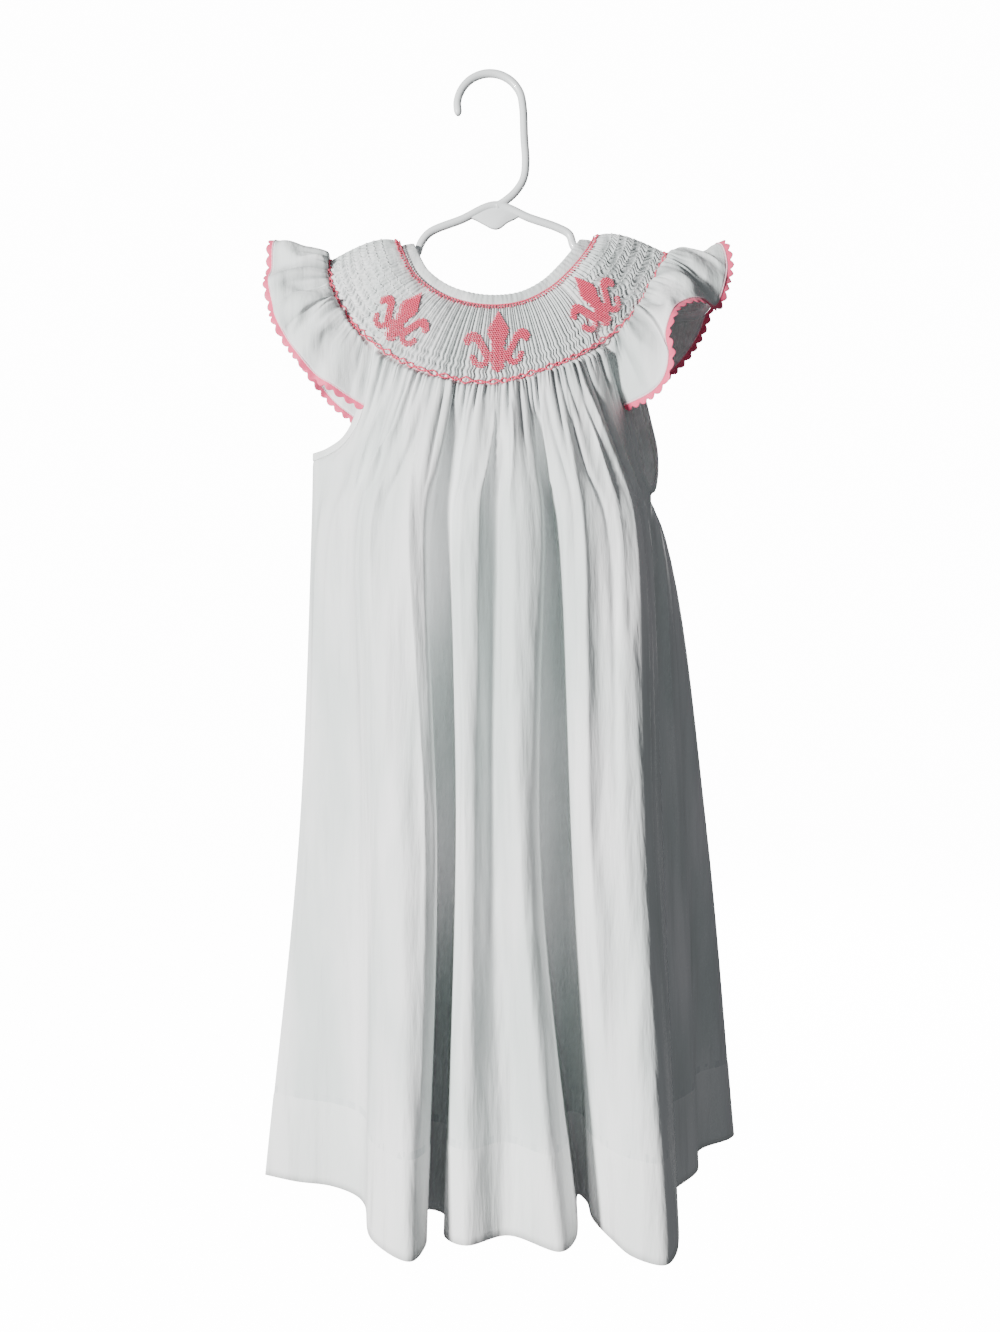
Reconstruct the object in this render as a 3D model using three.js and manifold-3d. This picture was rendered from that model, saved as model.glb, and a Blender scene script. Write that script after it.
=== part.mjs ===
// A girl's smocked bishop dress hanging on a one-piece plastic hanger.
// Millimetres, +Z up. The front faces -Y, and +X is to the right of someone looking at the front.
// The origin is the inside top of the hanger's hook, where a rod or peg holds it up.
import * as THREE from "three";
import Module from "manifold-3d";
import { mergeVertices } from "three/addons/utils/BufferGeometryUtils.js";

const wasm = await Module();
wasm.setup();

// Driving dimensions
const CLOTH = 1.2; // wall of the skirt and the flutters
const SMOCKED = 1.7; // wall of the smocked yoke under its pleats
const SEAM_GAP = 0.3; // between pieces that are sewn together
const CHEST_Z = -315;
const MID_Z = -530;
const HEM_Z = -770;
const BINDING_WIDTH = 9.5; // neck binding
const BINDING_LOW = 0.2; // its lower edge stands this far above the yoke's top
const BINDING_THICK = 2.4;
const BAND_WIDTH = 6; // armhole binding
const BAND_THICK = 1.6;
const BAND_END = 1.2; // it stops this short of the raglan seams
const TRIM_VALLEY = 1.6; // how far the scalloped trim stands out between its scallops
const TRIM_PEAK = 4.6; // and at them
const TRIM_THICK = 1.3;
const SCALLOP_PITCH = 7.4;
const TUBE = 2.8; // radius of the hanger's arms and hook
const BAR = 2.6; // radius of the hanger's lower bar
const HOOK_RADIUS = 23; // to the middle of the rod
const BUTTON_RADIUS = 4.6;
const BUTTON_THICK = 2;

// Pleats of each cut piece, all drawn up by one smocking thread
const PLEATS = { front: 38, half_back: 19, sleeve: 36 };
const PLEATS_END = 1.5; // level of a panel by which the gathers have run out
const PLEATS_RISE = 0.04; // share of a panel's width over which the pleats rise beside a seam
const BACK_FLAT = 0.14; // share of each back half that lies unpleated under the placket

// The yoke's two edges, station by station, from the left shoulder over the front to the right one.
const FRONT_STATIONS = [
  { neck: [-62, 0, -119], edge: [-112, 0, -131] },
  { neck: [-58, -15, -131], edge: [-108, -16, -153] },
  { neck: [-49, -25, -149], edge: [-93, -28, -181] },
  { neck: [-33, -32, -163], edge: [-66, -42, -207] },
  { neck: [-14, -36, -170.5], edge: [-32, -52, -224] },
  { neck: [5, -37, -172.5], edge: [4, -55, -229] },
  { neck: [23, -36, -169.5], edge: [36, -53, -220] },
  { neck: [40, -31, -159.5], edge: [66, -46, -205] },
  { neck: [54, -24, -145], edge: [92, -33, -182] },
  { neck: [66, -14, -128], edge: [111, -16, -151] },
  { neck: [71.6, 0, -115.5], edge: [123, 0, -125] },
];
const STATIONS = 20; // all round, counted from the centre back
const LEFT_SHOULDER = 5;
const RIGHT_SHOULDER = 15;
const FRONT_CENTRE = 10;
const RAGLAN = { back_left: 2.35, front_left: 7.65, front_right: 12.35, back_right: 17.65 };
const BACK_DEPTH = 0.9; // the back's share of the front's depth
const BACK_RISE = 8; // the back neckline is this much higher
const NECK_DEPTH = 37;
const LIFT = { centre: 3, shoulder: 6.5 }; // how far the yoke rounds out between its edges

// Folds of the skirt: x and y where each crest or valley crosses three levels.
const FRONT_FOLDS = [
  { chest: [-125, 0], mid: [-134, 2], hem: [-158, 4] },
  { chest: [-107, -25], mid: [-112, -16], hem: [-134, -6] },
  { chest: [-96, -30], mid: [-100, -25], hem: [-110, -12] },
  { chest: [-91, -38], mid: [-88, -34], hem: [-91, -25] },
  { chest: [-85, -45], mid: [-81, -46], hem: [-83, -38] },
  { chest: [-80, -52], mid: [-74, -62], hem: [-73, -82] },
  { chest: [-70, -58], mid: [-55, -82], hem: [-47, -107] },
  { chest: [-42, -66], mid: [-34, -78], hem: [-39, -88] },
  { chest: [-37, -53], mid: [-35, -47], hem: [-41, -45] },
  { chest: [-26, -51], mid: [-23, -48], hem: [-30, -50] },
  { chest: [-21, -64], mid: [-20, -73], hem: [-27, -80] },
  { chest: [-9, -70], mid: [-11, -82], hem: [-14, -89] },
  { chest: [3, -62], mid: [2, -70], hem: [12, -77] },
  { chest: [15, -71], mid: [20, -87], hem: [44, -96] },
  { chest: [33, -68], mid: [31, -78], hem: [54, -82] },
  { chest: [37, -55], mid: [34, -42], hem: [60, -24] },
  { chest: [43, -54], mid: [52, -36], hem: [65, -34] },
  { chest: [47, -64], mid: [54, -66], hem: [67, -56] },
  { chest: [57, -69], mid: [61, -82], hem: [77, -82] },
  { chest: [71, -66], mid: [74, -82], hem: [88, -102] },
  { chest: [89, -62], mid: [95, -85], hem: [105, -111] },
  { chest: [99, -50], mid: [106, -70], hem: [114, -99] },
  { chest: [112, -8], mid: [119, -12], hem: [128, -15] },
];
const BACK_RIGHT_FOLDS = [
  { chest: [112, -8], mid: [119, -12], hem: [128, -15] },
  { chest: [119, 6], mid: [136, 8], hem: [147, 10] },
  { chest: [123, 15], mid: [143, 26], hem: [154, 42] },
  { chest: [125, 23], mid: [158, 40], hem: [181, 62] },
  { chest: [124, 30], mid: [160, 50], hem: [186, 72] },
  { chest: [117, 39], mid: [150, 64], hem: [172, 90] },
  { chest: [110, 42], mid: [138, 62], hem: [156, 84] },
  { chest: [101, 43], mid: [124, 56], hem: [141, 70] },
  { chest: [95, 47], mid: [116, 61], hem: [130, 78] },
  { chest: [88, 54], mid: [108, 74], hem: [121, 95] },
  { chest: [80, 55], mid: [98, 74], hem: [109, 93] },
  { chest: [70, 52], mid: [85, 59], hem: [95, 68] },
  { chest: [60, 59], mid: [73, 73], hem: [80, 88] },
  { chest: [53, 62], mid: [64, 81], hem: [70, 101] },
  { chest: [42, 57], mid: [49, 64], hem: [55, 74] },
  { chest: [30, 59], mid: [34, 70], hem: [36, 84] },
  { chest: [20, 62], mid: [22, 78], hem: [23, 97] },
  { chest: [6, 61], mid: [7, 70], hem: [7, 80] },
];
const BACK_LEFT_FOLDS = [
  { chest: [6, 61], mid: [7, 70], hem: [7, 80] },
  { chest: [-9, 62], mid: [-9, 79], hem: [-12, 100] },
  { chest: [-18, 60], mid: [-20, 75], hem: [-24, 93] },
  { chest: [-28, 56], mid: [-33, 62], hem: [-39, 72] },
  { chest: [-37, 59], mid: [-45, 68], hem: [-51, 81] },
  { chest: [-44, 62], mid: [-54, 80], hem: [-62, 102] },
  { chest: [-53, 60], mid: [-66, 76], hem: [-75, 98] },
  { chest: [-63, 54], mid: [-79, 61], hem: [-91, 71] },
  { chest: [-73, 53], mid: [-91, 65], hem: [-105, 79] },
  { chest: [-82, 54], mid: [-101, 73], hem: [-116, 94] },
  { chest: [-94, 46], mid: [-112, 60], hem: [-129, 78] },
  { chest: [-102, 40], mid: [-118, 50], hem: [-137, 62] },
  { chest: [-110, 36], mid: [-126, 48], hem: [-148, 62] },
  { chest: [-119, 22], mid: [-133, 32], hem: [-159, 46] },
  { chest: [-125, 0], mid: [-134, 2], hem: [-158, 4] },
];

// Lower edges of the armholes, from the end of the front raglan seam by the underarm to the back one.
// The underarm is the middle point of each.
const ARMHOLES = {
  left: [
    [-84, -27, -236], [-91, -22, -250], [-100, -16, -260], [-112, -8, -266], [-124, 0, -269],
    [-116, 13, -266], [-105, 23, -260], [-96, 28, -250], [-90, 30, -238],
  ],
  right: [
    [90, -27, -236], [95, -22, -252], [100, -17, -269], [105, -13, -283], [112, -6, -292],
    [118, 8, -285], [119, 24, -260], [113, 28, -236], [107, 29, -215],
  ],
};
// Which way the cloth faces along each side seam and along each armhole
const SIDE_OUT = { left: [-0.95, -0.3, 0], right: [0.93, -0.36, 0] };
const BAND_OUT = {
  left: [[-0.4, -0.9, 0], [-0.97, -0.24, 0], [-0.5, 0.87, 0]],
  right: [[0.4, -0.9, 0], [0.95, -0.3, 0], [0.6, 0.8, 0]],
};

// Free edge of each flutter, from the back corner round to the front one and the other way.
const FLUTTER_LEFT = [
  [-90, 30, -238], [-119, 36, -213], [-143, 28, -174], [-152, 15, -136], [-149, 0, -114],
  [-151, -14, -142], [-146, -25, -171], [-133, -32, -196], [-115, -35, -217], [-84, -27, -236],
];
const FLUTTER_RIGHT = [
  [90, -27, -236], [103, -45, -233], [112, -57, -226], [115, -61, -211], [114, -58, -195],
  [121, -51, -177], [131, -45, -169], [143, -33, -167], [154, -21, -165], [161, -12, -150],
  [165, -4, -132], [163, 4, -116], [160, 13, -112], [163, 24, -130], [158, 31, -151],
  [151, 35, -171], [133, 34, -195], [107, 29, -215],
];
const FLUTTER_PUFF = 5; // how far the middle of a flutter bells out
const FLUTTER_WAVES = { left: { count: 10, height: 2.4 }, right: { count: 9, height: 1.4 } };

const point = (values) => new THREE.Vector3(...values);
const mix = (from, to, share) => from.clone().lerp(to, share);
const clamp = (value) => Math.min(1, Math.max(0, value));
const ease = (value) => clamp(value) ** 2 * (3 - 2 * clamp(value));
const number = (from, to, share) => from + (to - from) * share;
const spline = (points, closed = false) => new THREE.CatmullRomCurve3(points, closed, "centripetal");

// Value of a table of [place, value] pairs at any place between its first and last row
function lookUp(table, place) {
  const next = Math.max(1, table.findIndex((row) => row[0] >= place));
  const [low, high] = [table[next - 1], table[next]];
  return number(low[1], high[1], clamp((place - low[0]) / (high[0] - low[0])));
}

// Walls

// Triangles between two rows of vertex numbers. Each row has a list of places, and the strip steps along
// whichever row's next place comes first.
function strip(faces, first, second, firstAt, secondAt) {
  let [i, j] = [0, 0];
  while (i < first.length - 1 || j < second.length - 1) {
    const firstNext = i < first.length - 1 ? firstAt[i + 1] : Infinity;
    const secondNext = j < second.length - 1 ? secondAt[j + 1] : Infinity;
    if (firstNext <= secondNext) faces.push(first[i], second[j], first[++i]);
    else faces.push(first[i], second[j], second[++j]);
  }
}

function geometryOf(vertices, faces) {
  const geometry = new THREE.BufferGeometry();
  geometry.setAttribute("position", new THREE.Float32BufferAttribute(vertices.flatMap((v) => v.toArray()), 3));
  geometry.setIndex(faces);
  geometry.computeVertexNormals();
  return geometry;
}

// Closed wall between an outer and an inner skin. Each skin is a list of rows {level, across, points} from
// top to bottom, and rows may have different numbers of points.
function wall(outer, inner) {
  const vertices = [];
  const numbered = (rows) => rows.map((row) => row.points.map((v) => vertices.push(v) - 1));
  const [out, inn] = [numbered(outer), numbered(inner)];
  const faces = [];
  const skinFaces = (rows, numbers) => {
    const list = [];
    for (let r = 1; r < rows.length; r++) {
      strip(list, numbers[r - 1], numbers[r], rows[r - 1].across, rows[r].across);
    }
    return list;
  };
  faces.push(...skinFaces(outer, out));
  const inside = skinFaces(inner, inn);
  for (let k = 0; k < inside.length; k += 3) faces.push(inside[k], inside[k + 2], inside[k + 1]);
  strip(faces, inn[0], out[0], inner[0].across, outer[0].across);
  strip(faces, out.at(-1), inn.at(-1), outer.at(-1).across, inner.at(-1).across);
  const [outLevels, inLevels] = [outer.map((row) => row.level), inner.map((row) => row.level)];
  strip(faces, out.map((row) => row[0]), inn.map((row) => row[0]), outLevels, inLevels);
  strip(faces, inn.map((row) => row.at(-1)), out.map((row) => row.at(-1)), inLevels, outLevels);
  return geometryOf(vertices, faces);
}

// Closed band with the given corner points at each step along its length
function band(sections) {
  const vertices = sections.flat();
  const sides = sections[0].length;
  const faces = [];
  for (let k = 1; k < sections.length; k++) {
    for (let side = 0; side < sides; side++) {
      const next = (side + 1) % sides;
      const [a, b] = [(k - 1) * sides + side, (k - 1) * sides + next];
      faces.push(a, b, a + sides, b, b + sides, a + sides);
    }
  }
  const last = (sections.length - 1) * sides;
  for (let side = 1; side < sides - 1; side++) {
    faces.push(0, side + 1, side, last, last + side, last + side + 1);
  }
  return geometryOf(vertices, faces);
}

// Yoke

const backOf = ({ neck, edge }) => {
  const behind = ([x, y, z]) => [x, -y * BACK_DEPTH, z + (BACK_RISE * Math.abs(y)) / NECK_DEPTH];
  return { neck: behind(neck), edge: behind(edge) };
};
const stationRow = (k) => {
  if (k >= LEFT_SHOULDER && k <= RIGHT_SHOULDER) return FRONT_STATIONS[k - LEFT_SHOULDER];
  const opposite = k < LEFT_SHOULDER ? FRONT_CENTRE - k : FRONT_CENTRE + STATIONS - k;
  return backOf(FRONT_STATIONS[opposite - LEFT_SHOULDER]);
};
const ring = Array.from({ length: STATIONS }, (_, k) => stationRow(k));
const neckLine = spline(ring.map((row) => point(row.neck)), true);
const edgeLine = spline(ring.map((row) => point(row.edge)), true);
const onRing = (line, station) => line.getPoint((((station % STATIONS) + STATIONS) % STATIONS) / STATIONS);

// Outward direction of the yoke at a station
function yokeOut(station) {
  const step = 0.05;
  const fall = onRing(edgeLine, station).sub(onRing(neckLine, station));
  const ahead = onRing(edgeLine, station + step).add(onRing(neckLine, station + step));
  const behind = onRing(edgeLine, station - step).add(onRing(neckLine, station - step));
  return fall.cross(ahead.sub(behind)).normalize();
}

// Point of the yoke's plain surface; down is 0 at the neck and 1 at the outer edge
function yokeAt(station, down) {
  const shoulder = Math.cos((Math.PI * (station - LEFT_SHOULDER)) / (RIGHT_SHOULDER - LEFT_SHOULDER)) ** 2;
  const lift = number(LIFT.centre, LIFT.shoulder, shoulder) * Math.sin(Math.PI * clamp(down) ** 0.6);
  return mix(onRing(neckLine, station), onRing(edgeLine, station), down).addScaledVector(yokeOut(station), lift);
}

// Panels of cloth. Each is a surface of (across, level): level runs from -1 at the neck to 0 at the yoke's
// edge, then down the cloth below it. Across runs from 0 to 1 the way the stations count.

// Skirt levels: 1 at the end of the raglan seam, 2 underarm, 3 chest, 4 middle, 5 hem
const UNDERARM = 2;
const HEM = 5;

const armholeLine = { left: spline(ARMHOLES.left.map(point)), right: spline(ARMHOLES.right.map(point)) };

// One edge of a skirt panel that has a raglan seam, an armhole and a side seam
function sidePath(station, fold, side) {
  const top = yokeAt(station, 1);
  const inFront = station > LEFT_SHOULDER && station < RIGHT_SHOULDER;
  const edge = (share) => armholeLine[side].getPoint(inFront ? share / 2 : 1 - share / 2);
  const seam = spline([
    edge(1),
    point([...fold.chest, CHEST_Z]),
    point([...fold.mid, MID_Z]),
    point([...fold.hem, HEM_Z]),
  ]);
  const at = (level) => {
    if (level < 1) return mix(top, edge(0), level);
    if (level < UNDERARM) return edge(level - 1);
    return seam.getPoint((level - UNDERARM) / (HEM - UNDERARM));
  };
  const out = (level) => mix(yokeOut(station), point(SIDE_OUT[side]), clamp(level - 1)).normalize();
  return { at, out };
}

// A fold's path from the yoke's edge to the hem
function foldPath(station, fold) {
  const top = yokeAt(station, 1);
  const chest = point([...fold.chest, CHEST_Z]);
  const path = spline([
    top,
    mix(top, chest, 0.33),
    mix(top, chest, 0.67),
    chest,
    point([...fold.mid, MID_Z]),
    point([...fold.hem, HEM_Z]),
  ]);
  const out = (level) => mix(yokeOut(station), point([0, Math.sign(fold.chest[1]), 0]), clamp(level)).normalize();
  return { at: (level) => path.getPoint(level / HEM), out };
}

function skirtPanel(from, to, folds, left, right) {
  const share = [0];
  for (let k = 1; k < folds.length; k++) {
    const [a, b] = [folds[k - 1].chest, folds[k].chest];
    share.push(share[k - 1] + Math.hypot(b[0] - a[0], b[1] - a[1]));
  }
  const total = share.at(-1);
  share.forEach((length, k) => (share[k] = length / total));
  const paths = folds.map((fold, k) => foldPath(number(from, to, share[k]), fold));
  if (left) paths[0] = left;
  if (right) paths[paths.length - 1] = right;
  const rows = new Map();
  const rowAt = (level) => {
    if (!rows.has(level)) rows.set(level, spline(paths.map((path) => path.at(level))));
    return rows.get(level);
  };
  const at = (across, level) => {
    if (level <= 0) return yokeAt(number(from, to, across), 1 + level);
    const next = Math.max(1, share.findIndex((value) => value >= across - 1e-9));
    const part = clamp((across - share[next - 1]) / (share[next] - share[next - 1]));
    return rowAt(level).getPoint((next - 1 + part) / (share.length - 1));
  };
  return { from, to, at, share, bottom: HEM, edges: [paths[0], paths.at(-1)] };
}

// A sleeve: the shoulder part of the yoke and the flutter that hangs from it
function sleevePanel(from, to, edgePoints, waves) {
  const edge = spline(edgePoints.map(point));
  const wave = (across) => waves.height * Math.sin(2 * Math.PI * waves.count * across);
  const at = (across, level) => {
    const station = number(from, to, across);
    if (level <= 0) return yokeAt(station, 1 + level);
    const rounding = Math.sin(Math.PI * level) * FLUTTER_PUFF + Math.sin(Math.PI * level * 0.5) * wave(across);
    return mix(yokeAt(station, 1), edge.getPointAt(across), level)
      .addScaledVector(yokeOut(station), rounding * ease(8 * across) * ease(8 * (1 - across)));
  };
  const ends = [from, to].map((station) => ({ out: () => yokeOut(station) }));
  return { from, to, at, bottom: 1, edges: ends };
}

// Outward direction of a panel, taken from its seams' own directions along both edges
function outOf(panel, across, level) {
  if (across <= 0) return panel.edges[0].out(Math.max(0, level));
  if (across >= 1) return panel.edges[1].out(Math.max(0, level));
  const step = 0.004;
  const sideways = panel.at(Math.min(1, across + step), level).sub(panel.at(Math.max(0, across - step), level));
  const down = panel.at(across, Math.min(panel.bottom, level + step)).sub(
    panel.at(across, Math.max(-1, level - step)),
  );
  return down.cross(sideways).normalize();
}

// How high the pleats stand: drawn in at each row of smocking, then opening into soft gathers
const PLEAT_HEIGHT = [[-1, 0.8], [-0.8, 1.2], [-0.55, 0.7], [-0.28, 1.2], [0, 0.8], [0.25, 2.1], [0.6, 1.7],
  [1, 0.9], [1.5, 0], [HEM, 0]];
const FLUTTER_PLEAT_HEIGHT = [[-1, 0.8], [-0.8, 1.2], [-0.55, 0.7], [-0.28, 1.2], [0, 0.8], [0.25, 1.3], [0.6, 0],
  [1, 0]];


const thicknessAt = (level) => number(SMOCKED, CLOTH, ease(level / 0.3));

// Rows of a panel's skin. Columns are spread evenly, or steps in each space between folds.
function skin(panel, levels, { columns, steps, raised, flatEnds = [0, 0], lastColumns = columns }) {
  return levels.map((level) => {
    const across = [];
    const spread = level === panel.bottom ? lastColumns : columns;
    if (steps && level >= PLEATS_END) {
      for (let k = 1; k < panel.share.length; k++) {
        for (let i = 0; i < steps; i++) across.push(number(panel.share[k - 1], panel.share[k], i / steps));
      }
      across.push(1);
    } else for (let i = 0; i <= spread; i++) across.push(i / spread);
    const points = across.map((place, i) => {
      const flat = ease((place - flatEnds[0]) / PLEATS_RISE) * ease((1 - place - flatEnds[1]) / PLEATS_RISE);
      const height = raised ? (i % 2) * lookUp(raised, level) * flat : -thicknessAt(level);
      return panel.at(place, level).addScaledVector(outOf(panel, place, level), height);
    });
    const [first, last] = [points[0].clone(), points.at(-1).clone()];
    const inset = SEAM_GAP / 2;
    points[0].addScaledVector(points[1].clone().sub(first).normalize(), inset);
    points.at(-1).addScaledVector(points.at(-2).clone().sub(last).normalize(), inset);
    if (level === -1) {
      across.forEach((place, i) => {
        const station = number(panel.from, panel.to, place);
        const fall = onRing(edgeLine, station).sub(onRing(neckLine, station)).normalize();
        points[i].addScaledVector(fall, SEAM_GAP);
      });
    }
    return { level, across, points };
  });
}

const SKIRT_ROWS = [-1, -0.8, -0.55, -0.28, 0, 0.25, 0.6, 1, 1.25, 1.5, 1.75, 1.88, 2, 2.5, 3, 4, 5];
const SKIRT_ROWS_INSIDE = [-1, -0.5, 0, 0.6, 1, 1.25, 1.5, 1.75, 1.88, 2, 2.5, 3, 4, 5];
const SLEEVE_ROWS = [-1, -0.8, -0.55, -0.28, 0, 0.25, 0.6, 1];
const SLEEVE_ROWS_INSIDE = [-1, -0.8, -0.4, 0, 0.3, 0.6, 1];

function skirtWall(panel, pleats, steps, flatEnds) {
  const outer = skin(panel, SKIRT_ROWS, { columns: 2 * pleats, steps, raised: PLEAT_HEIGHT, flatEnds });
  return wall(outer, skin(panel, SKIRT_ROWS_INSIDE, { columns: pleats, steps }));
}

function sleeveWall(panel, pleats, lastColumns) {
  const outer = skin(panel, SLEEVE_ROWS, { columns: 2 * pleats, raised: FLUTTER_PLEAT_HEIGHT, lastColumns });
  return wall(outer, skin(panel, SLEEVE_ROWS_INSIDE, { columns: pleats, lastColumns }));
}

// Cut pieces

const FOLD_STEPS = { front: 3, back: 2 };
const edges = {
  front_left: sidePath(RAGLAN.front_left, FRONT_FOLDS[0], "left"),
  front_right: sidePath(RAGLAN.front_right, FRONT_FOLDS.at(-1), "right"),
  back_right: sidePath(RAGLAN.back_right, BACK_RIGHT_FOLDS[0], "right"),
  back_left: sidePath(RAGLAN.back_left, BACK_LEFT_FOLDS.at(-1), "left"),
};
const front = skirtPanel(RAGLAN.front_left, RAGLAN.front_right, FRONT_FOLDS, edges.front_left, edges.front_right);
const backRight = skirtPanel(RAGLAN.back_right, STATIONS, BACK_RIGHT_FOLDS, edges.back_right, null);
const backLeft = skirtPanel(0, RAGLAN.back_left, BACK_LEFT_FOLDS, null, edges.back_left);
const sleeveLeft = sleevePanel(RAGLAN.back_left, RAGLAN.front_left, FLUTTER_LEFT, FLUTTER_WAVES.left);
const sleeveRight = sleevePanel(RAGLAN.front_right, RAGLAN.back_right, FLUTTER_RIGHT, FLUTTER_WAVES.right);

// Bindings and trim

// Bias strip round the neck, open at the centre back
function neckBinding() {
  const steps = 76;
  const sections = [];
  for (let k = 0; k <= steps; k++) {
    const station = number(0.04, STATIONS - 0.04, k / steps);
    const base = onRing(neckLine, station);
    const up = base.clone().sub(onRing(edgeLine, station)).normalize();
    const out = yokeOut(station);
    const corner = (rise, depth) => base.clone().addScaledVector(up, rise).addScaledVector(out, depth);
    sections.push([
      corner(BINDING_LOW, 0),
      corner(BINDING_LOW, -SMOCKED),
      corner(BINDING_WIDTH * 0.9, -BINDING_THICK + 0.6),
      corner(BINDING_WIDTH, -0.6),
      corner(BINDING_WIDTH * 0.7, 0.6),
    ]);
  }
  return band(sections);
}

// Bias strip round the lower part of an armhole, from the front corner by the underarm to the back corner
function armholeBand(side) {
  const path = armholeLine[side];
  const facing = spline(BAND_OUT[side].map(point));
  const turn = side === "left" ? -1 : 1;
  const half = SKIRT_ROWS.filter((level) => level >= 1 && level <= UNDERARM).map((level) => (level - 1) / 2);
  const places = [...half, ...half.slice(0, -1).map((place) => 1 - place).reverse()];
  const corners = places.map((place) => path.getPoint(place));
  const ends = BAND_END / corners[0].distanceTo(corners[1]);
  corners[0].lerp(corners[1], ends);
  corners.at(-1).lerp(corners.at(-2), ends);
  const sections = [];
  for (const [k, place] of places.entries()) {
    const along = corners[Math.min(k + 1, places.length - 1)].clone().sub(corners[Math.max(k - 1, 0)]).normalize();
    const face = facing.getPoint(place).normalize();
    const out = face.clone().cross(along).multiplyScalar(turn).normalize();
    const normal = along.clone().cross(out).multiplyScalar(turn).normalize();
    const corner = (width, depth) =>
      corners[k].clone().addScaledVector(out, width).addScaledVector(normal, depth);
    const section = [
      corner(2 * SEAM_GAP, 0.2),
      corner(2 * SEAM_GAP, -BAND_THICK + 0.2),
      corner(BAND_WIDTH, -BAND_THICK + 0.4),
      corner(BAND_WIDTH, 0),
    ];
    sections.push(side === "right" ? section : section.reverse());
  }
  return band(sections);
}

// Columns along a flutter's free edge: one at each scallop of its trim and one between
const trimColumns = (edgePoints) => 2 * Math.round(spline(edgePoints.map(point)).getLength() / SCALLOP_PITCH);

// Scalloped trim along the free edge of a flutter
function scallopedTrim(panel, columns) {
  const sections = [];
  for (let k = 1; k < columns; k++) {
    const across = k / columns;
    const edge = panel.at(across, 1);
    const sideways = panel.at(across + 0.5 / columns, 1).sub(panel.at(across - 0.5 / columns, 1));
    const out = outOf(panel, across, 1);
    const away = sideways.cross(out).normalize();
    const corner = (width, depth) => edge.clone().addScaledVector(away, width).addScaledVector(out, depth);
    sections.push([
      corner(1.5 * SEAM_GAP, 0),
      corner(k % 2 ? TRIM_PEAK : TRIM_VALLEY, -TRIM_THICK / 2),
      corner(1.5 * SEAM_GAP, -TRIM_THICK),
    ]);
  }
  return band(sections);
}

// Placket and buttons down the centre back

const PLACKET = { halfWidth: 5.5, thick: 1.2, top: -0.97, bottom: 1.1, steps: 10 };
const backAt = (sideways, level) => {
  const panel = sideways > 0 ? backRight : backLeft;
  const width = panel.at(0, level).distanceTo(panel.at(1, level));
  const share = Math.abs(sideways) / width;
  return panel.at(sideways > 0 ? 1 - share : share, level);
};
function placket() {
  const sections = [];
  for (let k = 0; k <= PLACKET.steps; k++) {
    const level = number(PLACKET.top, PLACKET.bottom, k / PLACKET.steps);
    const out = outOf(backLeft, 0, level);
    const places = [PLACKET.halfWidth, 0, -PLACKET.halfWidth];
    const corner = (sideways, depth) => backAt(sideways, level).addScaledVector(out, depth);
    sections.push([
      ...places.map((sideways) => corner(sideways, SEAM_GAP)),
      ...places.toReversed().map((sideways) => corner(sideways, SEAM_GAP + PLACKET.thick)),
    ]);
  }
  return band(sections);
}

const BUTTON_LEVELS = [-0.86, -0.1, 0.75];
function button(level) {
  const profile = [[0, 0], [0.8, 0], [1, 0.3], [1, 0.75], [0.86, 1], [0.62, 0.8], [0, 0.8]];
  const shape = profile.map(([out, up]) => new THREE.Vector2(out * BUTTON_RADIUS, up * BUTTON_THICK));
  const geometry = new THREE.LatheGeometry(shape, 16);
  const out = outOf(backLeft, 0, level);
  const turn = new THREE.Quaternion().setFromUnitVectors(new THREE.Vector3(0, 1, 0), out);
  const seat = backAt(0, level).addScaledVector(out, 2 * SEAM_GAP + PLACKET.thick + 0.1);
  return geometry.applyQuaternion(turn).translate(...seat.toArray());
}

// Hanger

function solidOf(geometry) {
  geometry.deleteAttribute("normal");
  geometry.deleteAttribute("uv");
  const merged = mergeVertices(geometry, 1e-4);
  const mesh = new wasm.Mesh({
    numProp: 3,
    vertProperties: new Float32Array(merged.attributes.position.array),
    triVerts: new Uint32Array(merged.index.array),
  });
  return new wasm.Manifold(mesh);
}

function tube(path, radius, steps) {
  const section = new THREE.Shape();
  section.absarc(0, 0, radius, 0, 2 * Math.PI, false);
  return solidOf(new THREE.ExtrudeGeometry(section, { extrudePath: path, steps, curveSegments: 4 }));
}

// Lowest point of the yoke's inside over the hanger's arm at a given share of the way down the yoke
function armUnderYoke(station, down) {
  const cloth = yokeAt(station, down);
  return [cloth.x, 0, cloth.z - SMOCKED - 2 * SEAM_GAP - TUBE];
}

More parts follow.
